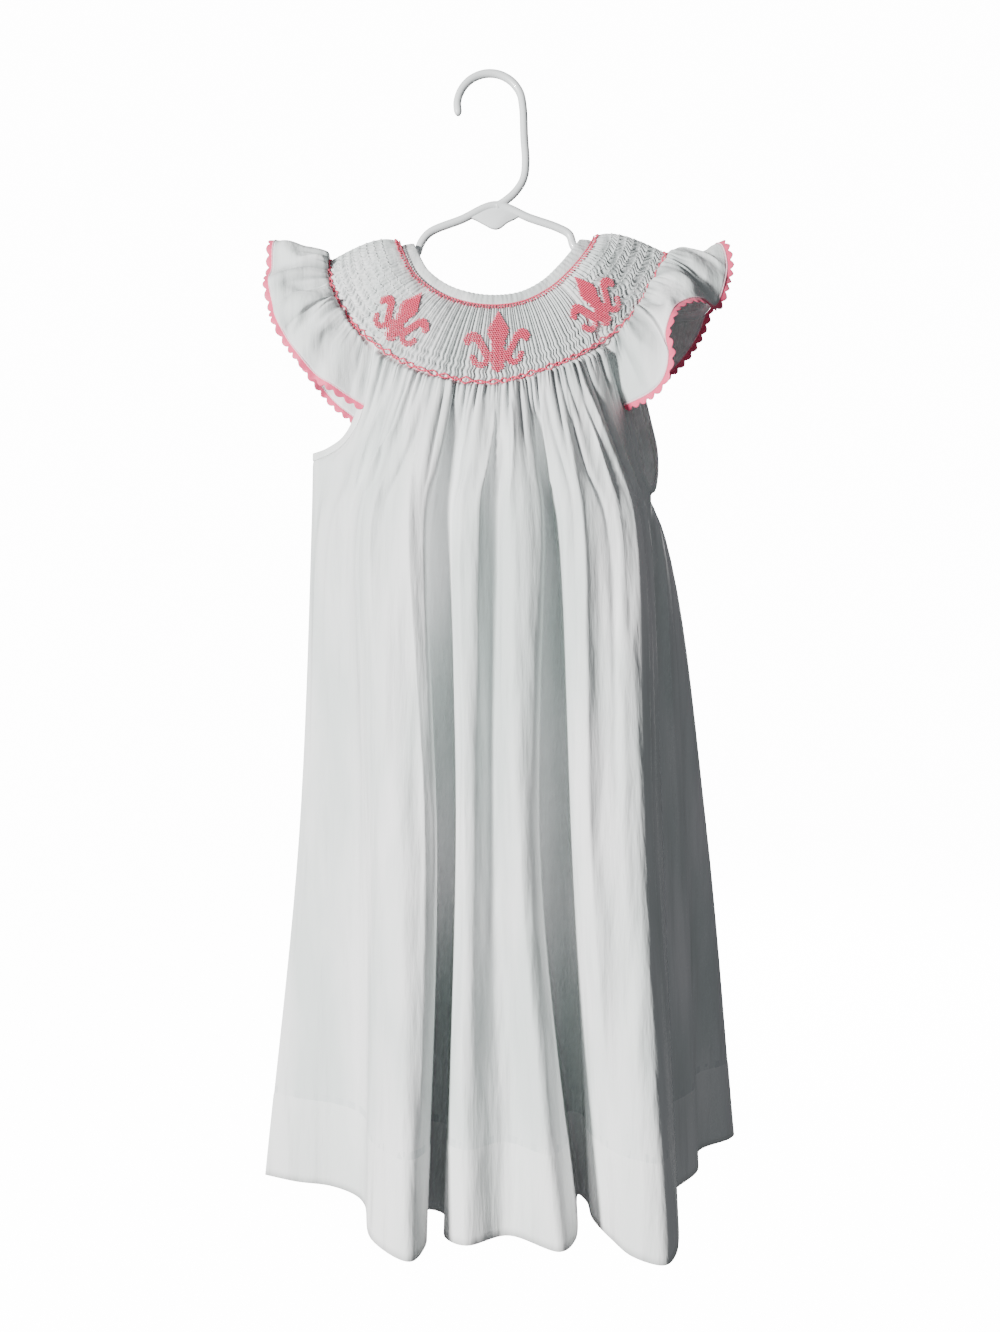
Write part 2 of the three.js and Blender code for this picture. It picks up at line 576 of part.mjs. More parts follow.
function hanger() {
  const centre = -(HOOK_RADIUS - TUBE);
  const hook = [];
  const [tip, last] = [196, 0];
  for (let k = 0; k <= 8; k++) {
    const angle = THREE.MathUtils.degToRad(number(tip, last, k / 8));
    hook.push([HOOK_RADIUS * Math.cos(angle), 0, centre + HOOK_RADIUS * Math.sin(angle)]);
  }
  const shank = [[24, 0, -42], [25, 0, -60], [23.5, 0, -71], [18, 0, -80], [10, 0, -87], [4, 0, -90.5]];
  const leftHump = armUnderYoke(LEFT_SHOULDER, 0.2);
  const rightHump = armUnderYoke(RIGHT_SHOULDER, 0.2);
  const frame = [
    [-118, 0, -168], [-132, 0, -167], [-139, 0, -161], [-139, 0, -153], [-132, 0, -147], [-112, 0, -137.6],
    [-86, 0, -127], leftHump, [-64, 0, -124.5], [-57, 0, -127], [-51.5, 0, -124], [-48, 0, -115.5],
    [-42, 0, -108.5], [-20, 0, -99.5], [4, 0, -89.5], [28, 0, -98.5], [48, 0, -105.5], [55.5, 0, -110],
    [58.5, 0, -118], [63.5, 0, -123.5], [72, 0, -121.5], rightHump, [96, 0, -121.5], [123, 0, -131.5],
    [145, 0, -141.5], [152, 0, -148], [153, 0, -157], [147, 0, -165], [133, 0, -168], [120, 0, -168],
  ];
  const plate = new THREE.Shape([[-15, -97], [-4, -102.5], [1, -105.6], [4.5, -106], [8, -105], [12, -101.5],
    [21, -96], [4, -89]].map(([x, z]) => new THREE.Vector2(x, z)));
  const plateThick = 3;
  const web = new THREE.ExtrudeGeometry(plate, { depth: plateThick, bevelEnabled: false });
  web.rotateX(Math.PI / 2).translate(0, plateThick / 2, 0);
  const bar = spline([[-124, 0, -168], [0, 0, -168.3], [126, 0, -168]].map(point));
  const whole = tube(spline([...hook, ...shank].map(point)), TUBE, 34)
    .add(tube(spline(frame.map(point)), TUBE, 60))
    .add(tube(bar, BAR, 6))
    .add(solidOf(web));
  const mesh = whole.getMesh();
  const geometry = new THREE.BufferGeometry();
  geometry.setAttribute("position", new THREE.Float32BufferAttribute(mesh.vertProperties, 3));
  geometry.setIndex([...mesh.triVerts]);
  geometry.computeVertexNormals();
  return geometry;
}

// Assembly

const cotton = { color: 0xf1f3f4, roughness: 0.85, metalness: 0 };
const pink = { color: 0xf98aa6, roughness: 0.8, metalness: 0 };
const pearl = { color: 0xf4f2ee, roughness: 0.35, metalness: 0 };
const plastic = { color: 0xeff1f2, roughness: 0.4, metalness: 0 };

const dress = new THREE.Group();
function addPiece(name, geometry, finish) {
  const mesh = new THREE.Mesh(geometry, new THREE.MeshStandardMaterial(finish));
  mesh.name = name;
  dress.add(mesh);
}

addPiece("front", skirtWall(front, PLEATS.front, FOLD_STEPS.front, [0, 0]), cotton);
addPiece("back_right", skirtWall(backRight, PLEATS.half_back, FOLD_STEPS.back, [0, BACK_FLAT]), cotton);
addPiece("back_left", skirtWall(backLeft, PLEATS.half_back, FOLD_STEPS.back, [BACK_FLAT, 0]), cotton);
addPiece("sleeve_left", sleeveWall(sleeveLeft, PLEATS.sleeve, trimColumns(FLUTTER_LEFT)), cotton);
addPiece("sleeve_right", sleeveWall(sleeveRight, PLEATS.sleeve, trimColumns(FLUTTER_RIGHT)), cotton);
addPiece("neck_binding", neckBinding(), cotton);
addPiece("armhole_binding_left", armholeBand("left"), cotton);
addPiece("armhole_binding_right", armholeBand("right"), cotton);
addPiece("sleeve_trim_left", scallopedTrim(sleeveLeft, trimColumns(FLUTTER_LEFT)), pink);
addPiece("sleeve_trim_right", scallopedTrim(sleeveRight, trimColumns(FLUTTER_RIGHT)), pink);
addPiece("back_placket", placket(), cotton);
BUTTON_LEVELS.forEach((level, k) => addPiece(`button_${k + 1}`, button(level), pearl));
addPiece("hanger", hanger(), plastic);

export default dress;
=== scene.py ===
import math

import bpy
import numpy as np
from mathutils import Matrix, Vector


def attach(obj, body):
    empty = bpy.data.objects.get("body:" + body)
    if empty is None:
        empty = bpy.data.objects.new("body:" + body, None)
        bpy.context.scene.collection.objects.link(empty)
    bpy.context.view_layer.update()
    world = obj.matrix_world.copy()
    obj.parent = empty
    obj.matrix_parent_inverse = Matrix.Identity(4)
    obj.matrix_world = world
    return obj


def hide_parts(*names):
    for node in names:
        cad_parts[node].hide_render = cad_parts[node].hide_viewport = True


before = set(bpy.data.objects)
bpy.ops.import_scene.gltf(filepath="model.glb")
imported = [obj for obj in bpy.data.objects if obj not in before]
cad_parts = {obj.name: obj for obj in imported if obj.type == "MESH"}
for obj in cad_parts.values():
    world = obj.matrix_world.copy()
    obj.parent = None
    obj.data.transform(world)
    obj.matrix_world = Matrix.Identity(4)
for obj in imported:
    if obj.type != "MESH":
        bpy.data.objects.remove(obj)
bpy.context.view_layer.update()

# A girl's white cotton dress with a smocked yoke, pink smocking and trim, on a child's plastic hanger.
# Shapes are worked out in millimetres, with the front facing -Y, and made in metres.
MM = 0.001

# Sizes
CLOTH, SMOCKED = 0.35, 1.2  # how thick
YOKE_WALL = 1.7  # of the solids, which the hanger lies under
CHEST_Z, MID_Z, HEM_Z = -315, -530, -770
HEM_DEPTH = 58
SEAM_GAP = 0.3  # between pieces that are sewn together
BINDING_WIDTH, BINDING_THICK, BINDING_SUNK = 9.5, 2.4, 1.4
BAND_WIDTH, BAND_THICK = 6, 1.6
TRIM_VALLEY, TRIM_PEAK, TRIM_THICK = 2.5, 4.9, 0.7
SCALLOP_PITCH = 7.4
TUBE, BAR, HOOK_RADIUS = 2.8, 2.6, 23
BUTTON_RADIUS, BUTTON_THICK, BUTTON_LEVELS = 4.6, 2, (-0.86, -0.1, 0.75)
PLACKET_WIDTH, PLACKET_THICK, PLACKET_TOP, PLACKET_BOTTOM = 11, 1.2, -0.97, 1.1
PLEATS = {"front": 62, "half_back": 31, "sleeve": 46}
GATHERS = {"front": 29, "half_back": 15, "sleeve": 15}
COLUMNS = 5  # across each pleat

# The yoke's neck edge and outer edge, from the left shoulder over the front to the right shoulder
FRONT_STATIONS = [
    ([-62, 0, -119], [-112, 0, -131]),
    ([-58, -15, -131], [-108, -16, -153]),
    ([-49, -25, -149], [-93, -28, -181]),
    ([-33, -32, -163], [-66, -42, -207]),
    ([-14, -36, -170.5], [-32, -52, -224]),
    ([5, -37, -172.5], [4, -55, -229]),
    ([23, -36, -169.5], [36, -53, -220]),
    ([40, -31, -159.5], [66, -46, -205]),
    ([54, -24, -145], [92, -33, -182]),
    ([66, -14, -128], [111, -16, -151]),
    ([71.6, 0, -115.5], [123, 0, -125]),
]
STATIONS, LEFT_SHOULDER, RIGHT_SHOULDER, FRONT_CENTRE = 20, 5, 15, 10
RAGLAN = {"back_left": 2.35, "front_left": 7.65, "front_right": 12.35, "back_right": 17.65}
BACK_DEPTH, BACK_RISE, NECK_DEPTH = 0.9, 8, 37
LIFT_CENTRE, LIFT_SHOULDER, LIFT_POWER = 3, 6.5, 0.6  # how far the yoke swells, fullest nearer the neck

# Folds of the skirt: x and y of each crest or valley at the chest, then at the middle and at the hem
FRONT_FOLDS = [
    (-125, 0, -134, 2, -158, 4),
    (-107, -25, -112, -16, -134, -6),
    (-96, -30, -100, -25, -110, -12),
    (-91, -38, -88, -34, -91, -25),
    (-85, -45, -81, -46, -83, -38),
    (-80, -52, -74, -62, -73, -82),
    (-70, -58, -55, -82, -47, -107),
    (-42, -66, -34, -78, -39, -88),
    (-37, -53, -35, -47, -41, -45),
    (-26, -51, -23, -48, -30, -50),
    (-21, -64, -20, -73, -27, -80),
    (-9, -70, -11, -82, -14, -89),
    (3, -62, 2, -70, 12, -77),
    (15, -71, 20, -87, 44, -96),
    (33, -68, 31, -78, 54, -82),
    (37, -55, 34, -42, 60, -24),
    (43, -54, 52, -36, 65, -34),
    (47, -64, 54, -66, 67, -56),
    (57, -69, 61, -82, 77, -82),
    (71, -66, 74, -82, 88, -102),
    (89, -62, 95, -85, 105, -111),
    (99, -50, 106, -70, 114, -99),
    (112, -8, 119, -12, 128, -15),
]
BACK_RIGHT_FOLDS = [
    (112, -8, 119, -12, 128, -15),
    (119, 6, 136, 8, 147, 10),
    (123, 15, 143, 26, 154, 42),
    (125, 23, 158, 40, 181, 62),
    (124, 30, 160, 50, 186, 72),
    (117, 39, 150, 64, 172, 90),
    (110, 42, 138, 62, 156, 84),
    (101, 43, 124, 56, 141, 70),
    (95, 47, 116, 61, 130, 78),
    (88, 54, 108, 74, 121, 95),
    (80, 55, 98, 74, 109, 93),
    (70, 52, 85, 59, 95, 68),
    (60, 59, 73, 73, 80, 88),
    (53, 62, 64, 81, 70, 101),
    (42, 57, 49, 64, 55, 74),
    (30, 59, 34, 70, 36, 84),
    (20, 62, 22, 78, 23, 97),
    (6, 61, 7, 70, 7, 80),
]
BACK_LEFT_FOLDS = [
    (6, 61, 7, 70, 7, 80),
    (-9, 62, -9, 79, -12, 100),
    (-18, 60, -20, 75, -24, 93),
    (-28, 56, -33, 62, -39, 72),
    (-37, 59, -45, 68, -51, 81),
    (-44, 62, -54, 80, -62, 102),
    (-53, 60, -66, 76, -75, 98),
    (-63, 54, -79, 61, -91, 71),
    (-73, 53, -91, 65, -105, 79),
    (-82, 54, -101, 73, -116, 94),
    (-94, 46, -112, 60, -129, 78),
    (-102, 40, -118, 50, -137, 62),
    (-110, 36, -126, 48, -148, 62),
    (-119, 22, -133, 32, -159, 46),
    (-125, 0, -134, 2, -158, 4),
]

# Points along each armhole, from the flutter's front end under the arm to its back end
ARMHOLES = {
    "left": [
        [-84, -27, -236], [-91, -22, -250], [-100, -16, -260], [-112, -8, -266], [-124, 0, -269],
        [-116, 13, -266], [-105, 23, -260], [-96, 28, -250], [-90, 30, -238],
    ],
    "right": [
        [90, -27, -236], [95, -22, -252], [100, -17, -269], [105, -13, -283], [112, -6, -292],
        [118, 8, -285], [119, 24, -260], [113, 28, -236], [107, 29, -215],
    ],
}
# The way each armhole band faces, at its front, its lowest point and its back
BAND_OUT = {
    "left": [[-0.4, -0.9, 0], [-0.97, -0.24, 0], [-0.5, 0.87, 0]],
    "right": [[0.4, -0.9, 0], [0.95, -0.3, 0], [0.6, 0.8, 0]],
}
# Points along each flutter's free edge, in the order of the yoke's stations
FLUTTERS = {
    "left": [
        [-90, 30, -238], [-119, 36, -213], [-143, 28, -174], [-152, 15, -136], [-149, 0, -114],
        [-151, -14, -142], [-146, -25, -171], [-133, -32, -196], [-115, -35, -217], [-84, -27, -236],
    ],
    "right": [
        [90, -27, -236], [103, -45, -233], [112, -57, -226], [115, -61, -211], [114, -58, -195],
        [121, -51, -177], [131, -45, -169], [143, -33, -167], [154, -21, -165], [161, -12, -150],
        [165, -4, -132], [163, 4, -116], [160, 13, -112], [163, 24, -130], [158, 31, -151],
        [151, 35, -171], [133, 34, -195], [107, 29, -215],
    ],
}
FLUTTER_PUFF = 5
FLUTTER_WAVES = {"left": (10, 2.4), "right": (9, 1.4)}  # how many, and how high


# Curves and surfaces

def ease(value):
    """0 below 0 and 1 above 1, with a soft rise between."""
    value = np.clip(value, 0, 1)
    return value * value * (3 - 2 * value)


def angles(count):
    return np.linspace(0, 2 * math.pi, count, endpoint=False)


def unit(vectors):
    return vectors / np.maximum(np.linalg.norm(vectors, axis=-1, keepdims=True), 1e-9)


def run_along(points):
    """How far along their line each of some points lies."""
    return np.concatenate([[0], np.cumsum(np.linalg.norm(np.diff(points, axis=0), axis=1))])


class Spline:
    """A smooth curve through points, at any place from 0 to 1."""

    def __init__(self, points, closed=False):
        self.points, self.closed = np.array(points, float), closed

    def __call__(self, place):
        p, n = self.points, len(self.points)
        place = np.asarray(place, float) * (n if self.closed else n - 1)
        k = np.floor(place).astype(int)
        if not self.closed:
            k = np.clip(k, 0, n - 2)
            p = np.vstack([2 * p[0] - p[1], p, 2 * p[-1] - p[-2]])
            a, b, c, d = p[k], p[k + 1], p[k + 2], p[k + 3]
        else:
            a, b, c, d = p[(k - 1) % n], p[k % n], p[(k + 1) % n], p[(k + 2) % n]
        w = (place - k)[..., None]
        gap = [np.sqrt(np.linalg.norm(v - u, axis=-1, keepdims=True)) for u, v in ((a, b), (b, c), (c, d))]
        one = np.maximum(gap[1], 0.01)
        zero, two = np.where(gap[0] < 0.01, one, gap[0]), np.where(gap[2] < 0.01, one, gap[2])
        s = ((b - a) / zero - (c - a) / (zero + one) + (c - b) / one) * one
        e = ((c - b) / one - (d - b) / (one + two) + (d - c) / two) * one
        return b + s * w + (3 * (c - b) - 2 * s - e) * w**2 + (2 * (b - c) + s + e) * w**3

    def even(self, share):
        """The point at a share of the curve's length."""
        places = np.linspace(0, 1, 401)
        run = run_along(self(places))
        return self(np.interp(np.asarray(share) * run[-1], run, places))

    def length(self):
        return run_along(self(np.linspace(0, 1, 401)))[-1]


def station_row(k):
    """The yoke's two edges at a station; the back mirrors the front, a little flatter and higher."""
    if LEFT_SHOULDER <= k <= RIGHT_SHOULDER:
        return FRONT_STATIONS[k - LEFT_SHOULDER]
    opposite = FRONT_CENTRE - k if k < LEFT_SHOULDER else FRONT_CENTRE + STATIONS - k
    rows = FRONT_STATIONS[opposite - LEFT_SHOULDER]
    return [[x, -y * BACK_DEPTH, z + BACK_RISE * abs(y) / NECK_DEPTH] for x, y, z in rows]


neck_line = Spline([station_row(k)[0] for k in range(STATIONS)], closed=True)
edge_line = Spline([station_row(k)[1] for k in range(STATIONS)], closed=True)


def yoke_out(station):
    """The way the yoke faces at a station."""
    at = lambda line, s: line((s % STATIONS) / STATIONS)
    fall = at(edge_line, station) - at(neck_line, station)
    ahead = at(edge_line, station + 0.05) + at(neck_line, station + 0.05)
    behind = at(edge_line, station - 0.05) + at(neck_line, station - 0.05)
    return unit(np.cross(fall, ahead - behind))


def yoke_at(station, down):
    """The yoke's plain surface; down is 0 at the neck and 1 at the outer edge."""
    station, down = np.broadcast_arrays(np.asarray(station, float), np.asarray(down, float))
    shoulder = np.cos(math.pi * (station - LEFT_SHOULDER) / (RIGHT_SHOULDER - LEFT_SHOULDER)) ** 2
    swell = LIFT_CENTRE + (LIFT_SHOULDER - LIFT_CENTRE) * shoulder
    lift = swell * np.sin(math.pi * np.clip(down, 0, 1) ** LIFT_POWER)
    neck, edge = (line((station % STATIONS) / STATIONS) for line in (neck_line, edge_line))
    return neck + (edge - neck) * down[..., None] + yoke_out(station) * lift[..., None]


# Panels of cloth. A level runs from -1 at the neck to 0 at the yoke's edge and on down the cloth. On the
# skirt 1 is the end of the raglan seam, 2 the underarm, 3 the chest, 4 the middle and 5 the hem. On a
# flutter 1 is the free edge. Each kind of panel has its own last level, length of gathers against the
# skirt's, depth and width of creases against their rows, and painted shade in grooves and between rows of
# thread.

armhole_line = {side: Spline(points) for side, points in ARMHOLES.items()}


class Skirt:
    """The front or half of the back: splines down its folds, and a spline across them at each level."""

    bottom, gather_length, half_length = 5, 1, 1
    crease_depth, crease_width, crease_shade, row_shade = 1.5, 1, 0.35, 0.4

    def __init__(self, start, end, folds, left_side, right_side):
        self.start, self.end = start, end
        folds = np.array(folds, float).reshape(-1, 3, 2)
        share = run_along(folds[:, 0])
        self.share = share / share[-1]
        self.paths = [self.fold(start + (end - start) * s, fold) for s, fold in zip(self.share, folds)]
        if left_side:
            self.paths[0] = self.side(start, folds[0], left_side)
        if right_side:
            self.paths[-1] = self.side(end, folds[-1], right_side)

    def fold(self, station, fold):
        top = yoke_at(station, 1)
        chest = np.array([*fold[0], CHEST_Z])
        path = Spline([top, top + (chest - top) * 0.33, top + (chest - top) * 0.67, chest,
                       [*fold[1], MID_Z], [*fold[2], HEM_Z]])
        return lambda level: path(level / self.bottom)

    def side(self, station, fold, side):
        """The panel's edge: down the raglan seam, round the armhole and down the side seam."""
        top = yoke_at(station, 1)
        front = LEFT_SHOULDER < station < RIGHT_SHOULDER
        edge = lambda share: armhole_line[side](share / 2 if front else 1 - share / 2)
        seam = Spline([edge(1), [*fold[0], CHEST_Z], [*fold[1], MID_Z], [*fold[2], HEM_Z]])

        def at(level):
            if level < 1:
                return top + (edge(0) - top) * level
            return edge(level - 1) if level < 2 else seam((level - 2) / 3)

        return at

    def row(self, level, across):
        """Points at one level, at shares of the way across the panel."""
        if level <= 0:
            return yoke_at(self.start + (self.end - self.start) * across, 1 + level)
        line = Spline([path(level) for path in self.paths])
        k = np.clip(np.searchsorted(self.share, across - 1e-9), 1, len(self.share) - 1)
        part = np.clip((across - self.share[k - 1]) / (self.share[k] - self.share[k - 1]), 0, 1)
        return line((k - 1 + part) / (len(self.share) - 1))


class Sleeve:
    """A raglan flutter: its part of the yoke, then waving cloth out to its free edge."""

    bottom, gather_length, half_length = 1, 0.35, 1.5
    crease_depth, crease_width, crease_shade, row_shade = 2.2, 1.5, 0.5, 0.8

    def __init__(self, start, end, side):
        self.start, self.end = start, end
        self.edge, self.waves = Spline(FLUTTERS[side]), FLUTTER_WAVES[side]

    def row(self, level, across):
        station = self.start + (self.end - self.start) * across
        if level <= 0:
            return yoke_at(station, 1 + level)
        count, height = self.waves
        wave = height * np.sin(2 * math.pi * count * across)
        rounding = math.sin(math.pi * level) * FLUTTER_PUFF + math.sin(math.pi * level / 2) * wave
        rounding = rounding * ease(8 * across) * ease(8 * (1 - across))
        top = yoke_at(station, 1)
        return top + (self.edge.even(across) - top) * level + yoke_out(station) * rounding[:, None]


front = Skirt(RAGLAN["front_left"], RAGLAN["front_right"], FRONT_FOLDS, "left", "right")
back_right = Skirt(RAGLAN["back_right"], STATIONS, BACK_RIGHT_FOLDS, "right", None)
back_left = Skirt(0, RAGLAN["back_left"], BACK_LEFT_FOLDS, None, "left")
sleeve_left = Sleeve(RAGLAN["back_left"], RAGLAN["front_left"], "left")
sleeve_right = Sleeve(RAGLAN["front_right"], RAGLAN["back_right"], "right")


# Meshes

def new_object(name, data):
    made = bpy.data.objects.new(name, data)
    bpy.context.collection.objects.link(made)
    return made


def modified_mesh(piece):
    """The mesh that a piece's modifier makes of it."""
    return bpy.data.meshes.new_from_object(piece.evaluated_get(bpy.context.evaluated_depsgraph_get()))


def mesh_piece(name, vertices, faces, finishes, uv=None, painted_shade=None):
    """A smooth piece from points in millimetres; the last argument gives how much painted shade each point
    gets between folds.
    """
    mesh = bpy.data.meshes.new(name)
    mesh.from_pydata((np.asarray(vertices) * MM).tolist(), [], [tuple(map(int, face)) for face in faces])
    for finish in finishes:
        mesh.materials.append(finish)
    if uv is not None:
        layer = mesh.uv_layers.new(name="cloth")
        corners = np.empty(len(mesh.loops), np.int32)
        mesh.loops.foreach_get("vertex_index", corners)
        layer.data.foreach_set("uv", np.asarray(uv, np.float32)[corners].ravel())
    # Painted shade of furrows, gaps and grooves, stored per point for the cotton's colour.
    if painted_shade is not None:
        depths = mesh.attributes.new("painted_shade", "FLOAT", "POINT")
        depths.data.foreach_set("value", np.asarray(painted_shade, np.float32))
    mesh.polygons.foreach_set("use_smooth", [True] * len(mesh.polygons))
    mesh.update()
    return new_object(name, mesh)


def dress(piece, node):
    """Hangs a piece on the root body, and hides the solid that it stands for, if it has one."""
    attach(piece, "root")
    if node:
        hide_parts(node)


def grid_faces(rows, columns, first=0, flip=False):
    """Quads between the rows of a grid of vertices."""
    k = np.arange((rows - 1) * columns).reshape(rows - 1, columns)[:, :-1].ravel() + first
    quads = np.stack([k, k + columns, k + columns + 1, k + 1], axis=1)
    return quads[:, ::-1] if flip else quads


def shell(outer, inner):
    """Vertices and faces of a closed wall between two grids of points."""
    rows, columns = outer.shape[:2]
    count = rows * columns
    faces = [grid_faces(rows, columns), grid_faces(rows, columns, count, flip=True)]
    at = np.arange(count).reshape(rows, columns)
    for border in (at[0], at[::-1, 0], at[-1, ::-1], at[:, -1]):
        here, ahead = border[:-1], border[1:]
        faces.append(np.stack([here, ahead, ahead + count, here + count], axis=1))
    return np.vstack([outer.reshape(-1, 3), inner.reshape(-1, 3)]), np.vstack(faces)


# Finishes

class Level:
    """A node's socket in an expression: what is done to it adds Math nodes."""

    def __init__(self, finish, socket):
        self.finish, self.socket = finish, socket

    def maths(self, operation, *values):
        return self.finish.node("ShaderNodeMath", {"operation": operation}, dict(enumerate(values)))

    def __add__(self, other):
        return self.maths("ADD", self, other)

    def __radd__(self, other):
        return self.maths("ADD", other, self)

    def __mul__(self, other):
        return self.maths("MULTIPLY", self, other)

    def __rmul__(self, other):
        return self.maths("MULTIPLY", other, self)

    def over(self, edge):
        return self.maths("GREATER_THAN", self, edge)

    def within(self, place, reach):
        return self.maths("COMPARE", self, place, reach)


class Finish:
    """One material and its nodes."""

    def __init__(self, name, **values):
        self.material = bpy.data.materials.new(name)
        self.material.use_nodes = True
        self.tree = self.material.node_tree
        self.shader = self.tree.nodes["Principled BSDF"]
        for socket, value in values.items():
            self.shader.inputs[socket.replace("_", " ")].default_value = value

    def node(self, kind, settings=None, values=None, output=0):
        made = self.tree.nodes.new(kind)
        for setting, value in (settings or {}).items():
            if setting == "stops":
                for stop, (place, tone) in zip(made.color_ramp.elements, value):
                    stop.position, stop.color = place, tone
            else:
                setattr(made, setting, value)
        for socket, value in (values or {}).items():
            self.join(value, made.inputs[socket])
        return Level(self, made.outputs[output])

    def join(self, value, socket):
        if isinstance(value, Level):
            self.tree.links.new(value.socket, socket)
        else:
            socket.default_value = value

    def use(self, socket, value):
        self.join(value, self.shader.inputs[socket])

    def place(self):
        return self.node("ShaderNodeTexCoord", output="Object")

    def down_cloth(self):
        """How far down its cut piece a place lies: 0.5 at the hem's fold line and 1 at its edge."""
        uv = self.node("ShaderNodeUVMap", {"uv_map": "cloth"})
        return self.node("ShaderNodeSeparateXYZ", {}, {0: uv}, output=1)

    def noise(self, place, scale, detail):
        return self.node("ShaderNodeTexNoise", {}, {"Vector": place, "Scale": scale, "Detail": detail})

    def streaks(self, sideways, upright, detail):
        """Noise of so many blots a metre sideways and upright."""
        scales = (sideways, sideways, upright)
        place = self.node("ShaderNodeMapping", {}, {"Vector": self.place(), "Scale": scales})
        return self.noise(place, 1, detail)

    def bump(self, height, depth_mm, strength):
        values = {"Height": height, "Distance": depth_mm * MM, "Strength": strength}
        self.use("Normal", self.node("ShaderNodeBump", {}, values))

    def mix(self, share, first, second):
        return self.node("ShaderNodeMix", {"data_type": "RGBA"}, {0: share, 6: first, 7: second}, output=2)


def colour(red, green, blue):
    return (red, green, blue, 1)


def cotton_finish(name, hem=False):
    """Fine white batiste, a little uneven, with soft upright creases, painted shade in its folds and
    painted shade along the hem's puckered stitch line.
    """
    cotton = Finish(name, Roughness=0.85, Sheen_Weight=0.15, Sheen_Roughness=0.5)
    tone = cotton.streaks(22, 6, 3)
    stops = [(0.38, colour(0.68, 0.73, 0.72)), (0.62, colour(0.88, 0.885, 0.89))]
    plain = cotton.node("ShaderNodeValToRGB", {"stops": stops}, {"Fac": tone})
    if hem:
        level = cotton.down_cloth()
        plain = cotton.mix(level.over(0.5) * 0.45, plain, colour(0.93, 0.935, 0.93))
        # Painted shade: the hem's stitch line is darkened in broken marks where the cloth puckers.
        pucker_shade = cotton.streaks(160, 20, 1).over(0.55)
        plain = cotton.mix(level.within(0.5, 0.002) * pucker_shade * 0.5, plain, colour(0.62, 0.66, 0.67))
    # Painted shade: the cloth is darkened towards grey in pleat furrows, gather gaps and crease grooves.
    painted_shade = cotton.node("ShaderNodeAttribute", {"attribute_name": "painted_shade"}, output=2)
    cotton.use("Base Color", cotton.mix(painted_shade * 0.85, plain, colour(0.33, 0.36, 0.36)))
    creases = cotton.streaks(110, 16, 4) + 4 * cotton.streaks(34, 6, 2)
    cotton.bump(creases, 2.2, 0.9)
    return cotton.material


def thread_finish(name, deep, light):
    """Twisted thread, with painted shade in its furrows and painted light on top, spread as fine noise."""
    thread = Finish(name, Roughness=0.6, Sheen_Weight=0.3)
    twist = thread.noise(thread.place(), 1400, 2)
    # Painted shade and light: the thread is darkened in its furrows and lightened on top, as fine noise.
    thread.use("Base Color", thread.mix(twist, deep, light))
    thread.bump(twist, 0.15, 0.6)
    return thread.material


cotton = cotton_finish("white cotton batiste", hem=True)
plain_cotton = cotton_finish("white cotton bias strip")
pink_thread = thread_finish("pink smocking thread", colour(0.62, 0.02, 0.07), colour(1, 0.09, 0.2))
white_thread = thread_finish("white smocking thread", colour(0.8, 0.82, 0.82), colour(0.92, 0.93, 0.93))
lace = thread_finish("pink scalloped edging", colour(0.78, 0.05, 0.15), colour(1, 0.12, 0.26))
pale_lace = thread_finish("pale pink rolled edge", colour(0.93, 0.45, 0.55), colour(0.98, 0.66, 0.72))
pearl = Finish("pearl buttons", Base_Color=colour(0.86, 0.84, 0.8), Roughness=0.22,
               Coat_Weight=0.5).material
plastic = Finish("white hanger plastic", Base_Color=colour(0.83, 0.86, 0.87), Roughness=0.32,
                 Coat_Weight=0.25).material


# Cut pieces of the dress

def pleat_columns(pleats):
    """Places across a panel, and how high each stands in its pleat."""
    place = np.arange(pleats * COLUMNS + 1) / COLUMNS
    uneven = 0.18 * np.sin(place * 1.9) + 0.11 * np.sin(place * 4.3)
    ends = ease(place / 3) * ease((pleats - place) / 3)
    return (place + uneven * ends) / pleats, np.abs(np.sin(math.pi * place)) ** 0.7


# The pleats' zigzags, at stations round the yoke: how far down it they begin and how large they are in
# pleats. They are short before one station and long after it.
ZIGZAG_BEGINS = ([0, 3, 6, 8.5, 11.5, 13.5, 17, 20], [0.3, 0.2, 0.2, 0.66, 0.66, 0.12, 0.12, 0.3])
ZIGZAG_SIZE = ([0, 3, 6, 8.5, 11.5, 13, 17, 20], [0.3, 0.3, 0.28, 0.2, 0.2, 0.6, 0.6, 0.3])
ZIGZAG_CHANGE, ZIGZAG_SHORT, ZIGZAG_LONG = 12, 0.115, 0.2


def zigzag(panel, across, level):
    """How far the pleats are drawn aside at one level, in pleats: little on the left shoulder, in small
    steps low on the front, in long waves on the right shoulder and over the back."""
    station = panel.start + (panel.end - panel.start) * across
    begins, size = np.interp(station, *ZIGZAG_BEGINS), np.interp(station, *ZIGZAG_SIZE)
    pitch = np.where(station < ZIGZAG_CHANGE, ZIGZAG_SHORT, ZIGZAG_LONG)
    strength = ease((1 + level - begins) / 0.14) * ease(-level / 0.03 + 0.3)
    drift = 0.8 * np.sin(station * 3.1) + 0.5 * np.sin(station * 7.3)
    return size * strength * np.sin(2 * math.pi * level / pitch + drift)


# How narrow the gathers' gaps are and how much of their height they keep, by level
GATHER_NARROW = ([0, 1.5, 4], [0.42, 0.6, 1.2])
GATHER_KEPT = ([0, 1, 3], [1, 0.75, 0.4])
GATHER_HEIGHT, HALF_HEIGHT, HALF_LENGTH = 3.9, 1.1, 0.45


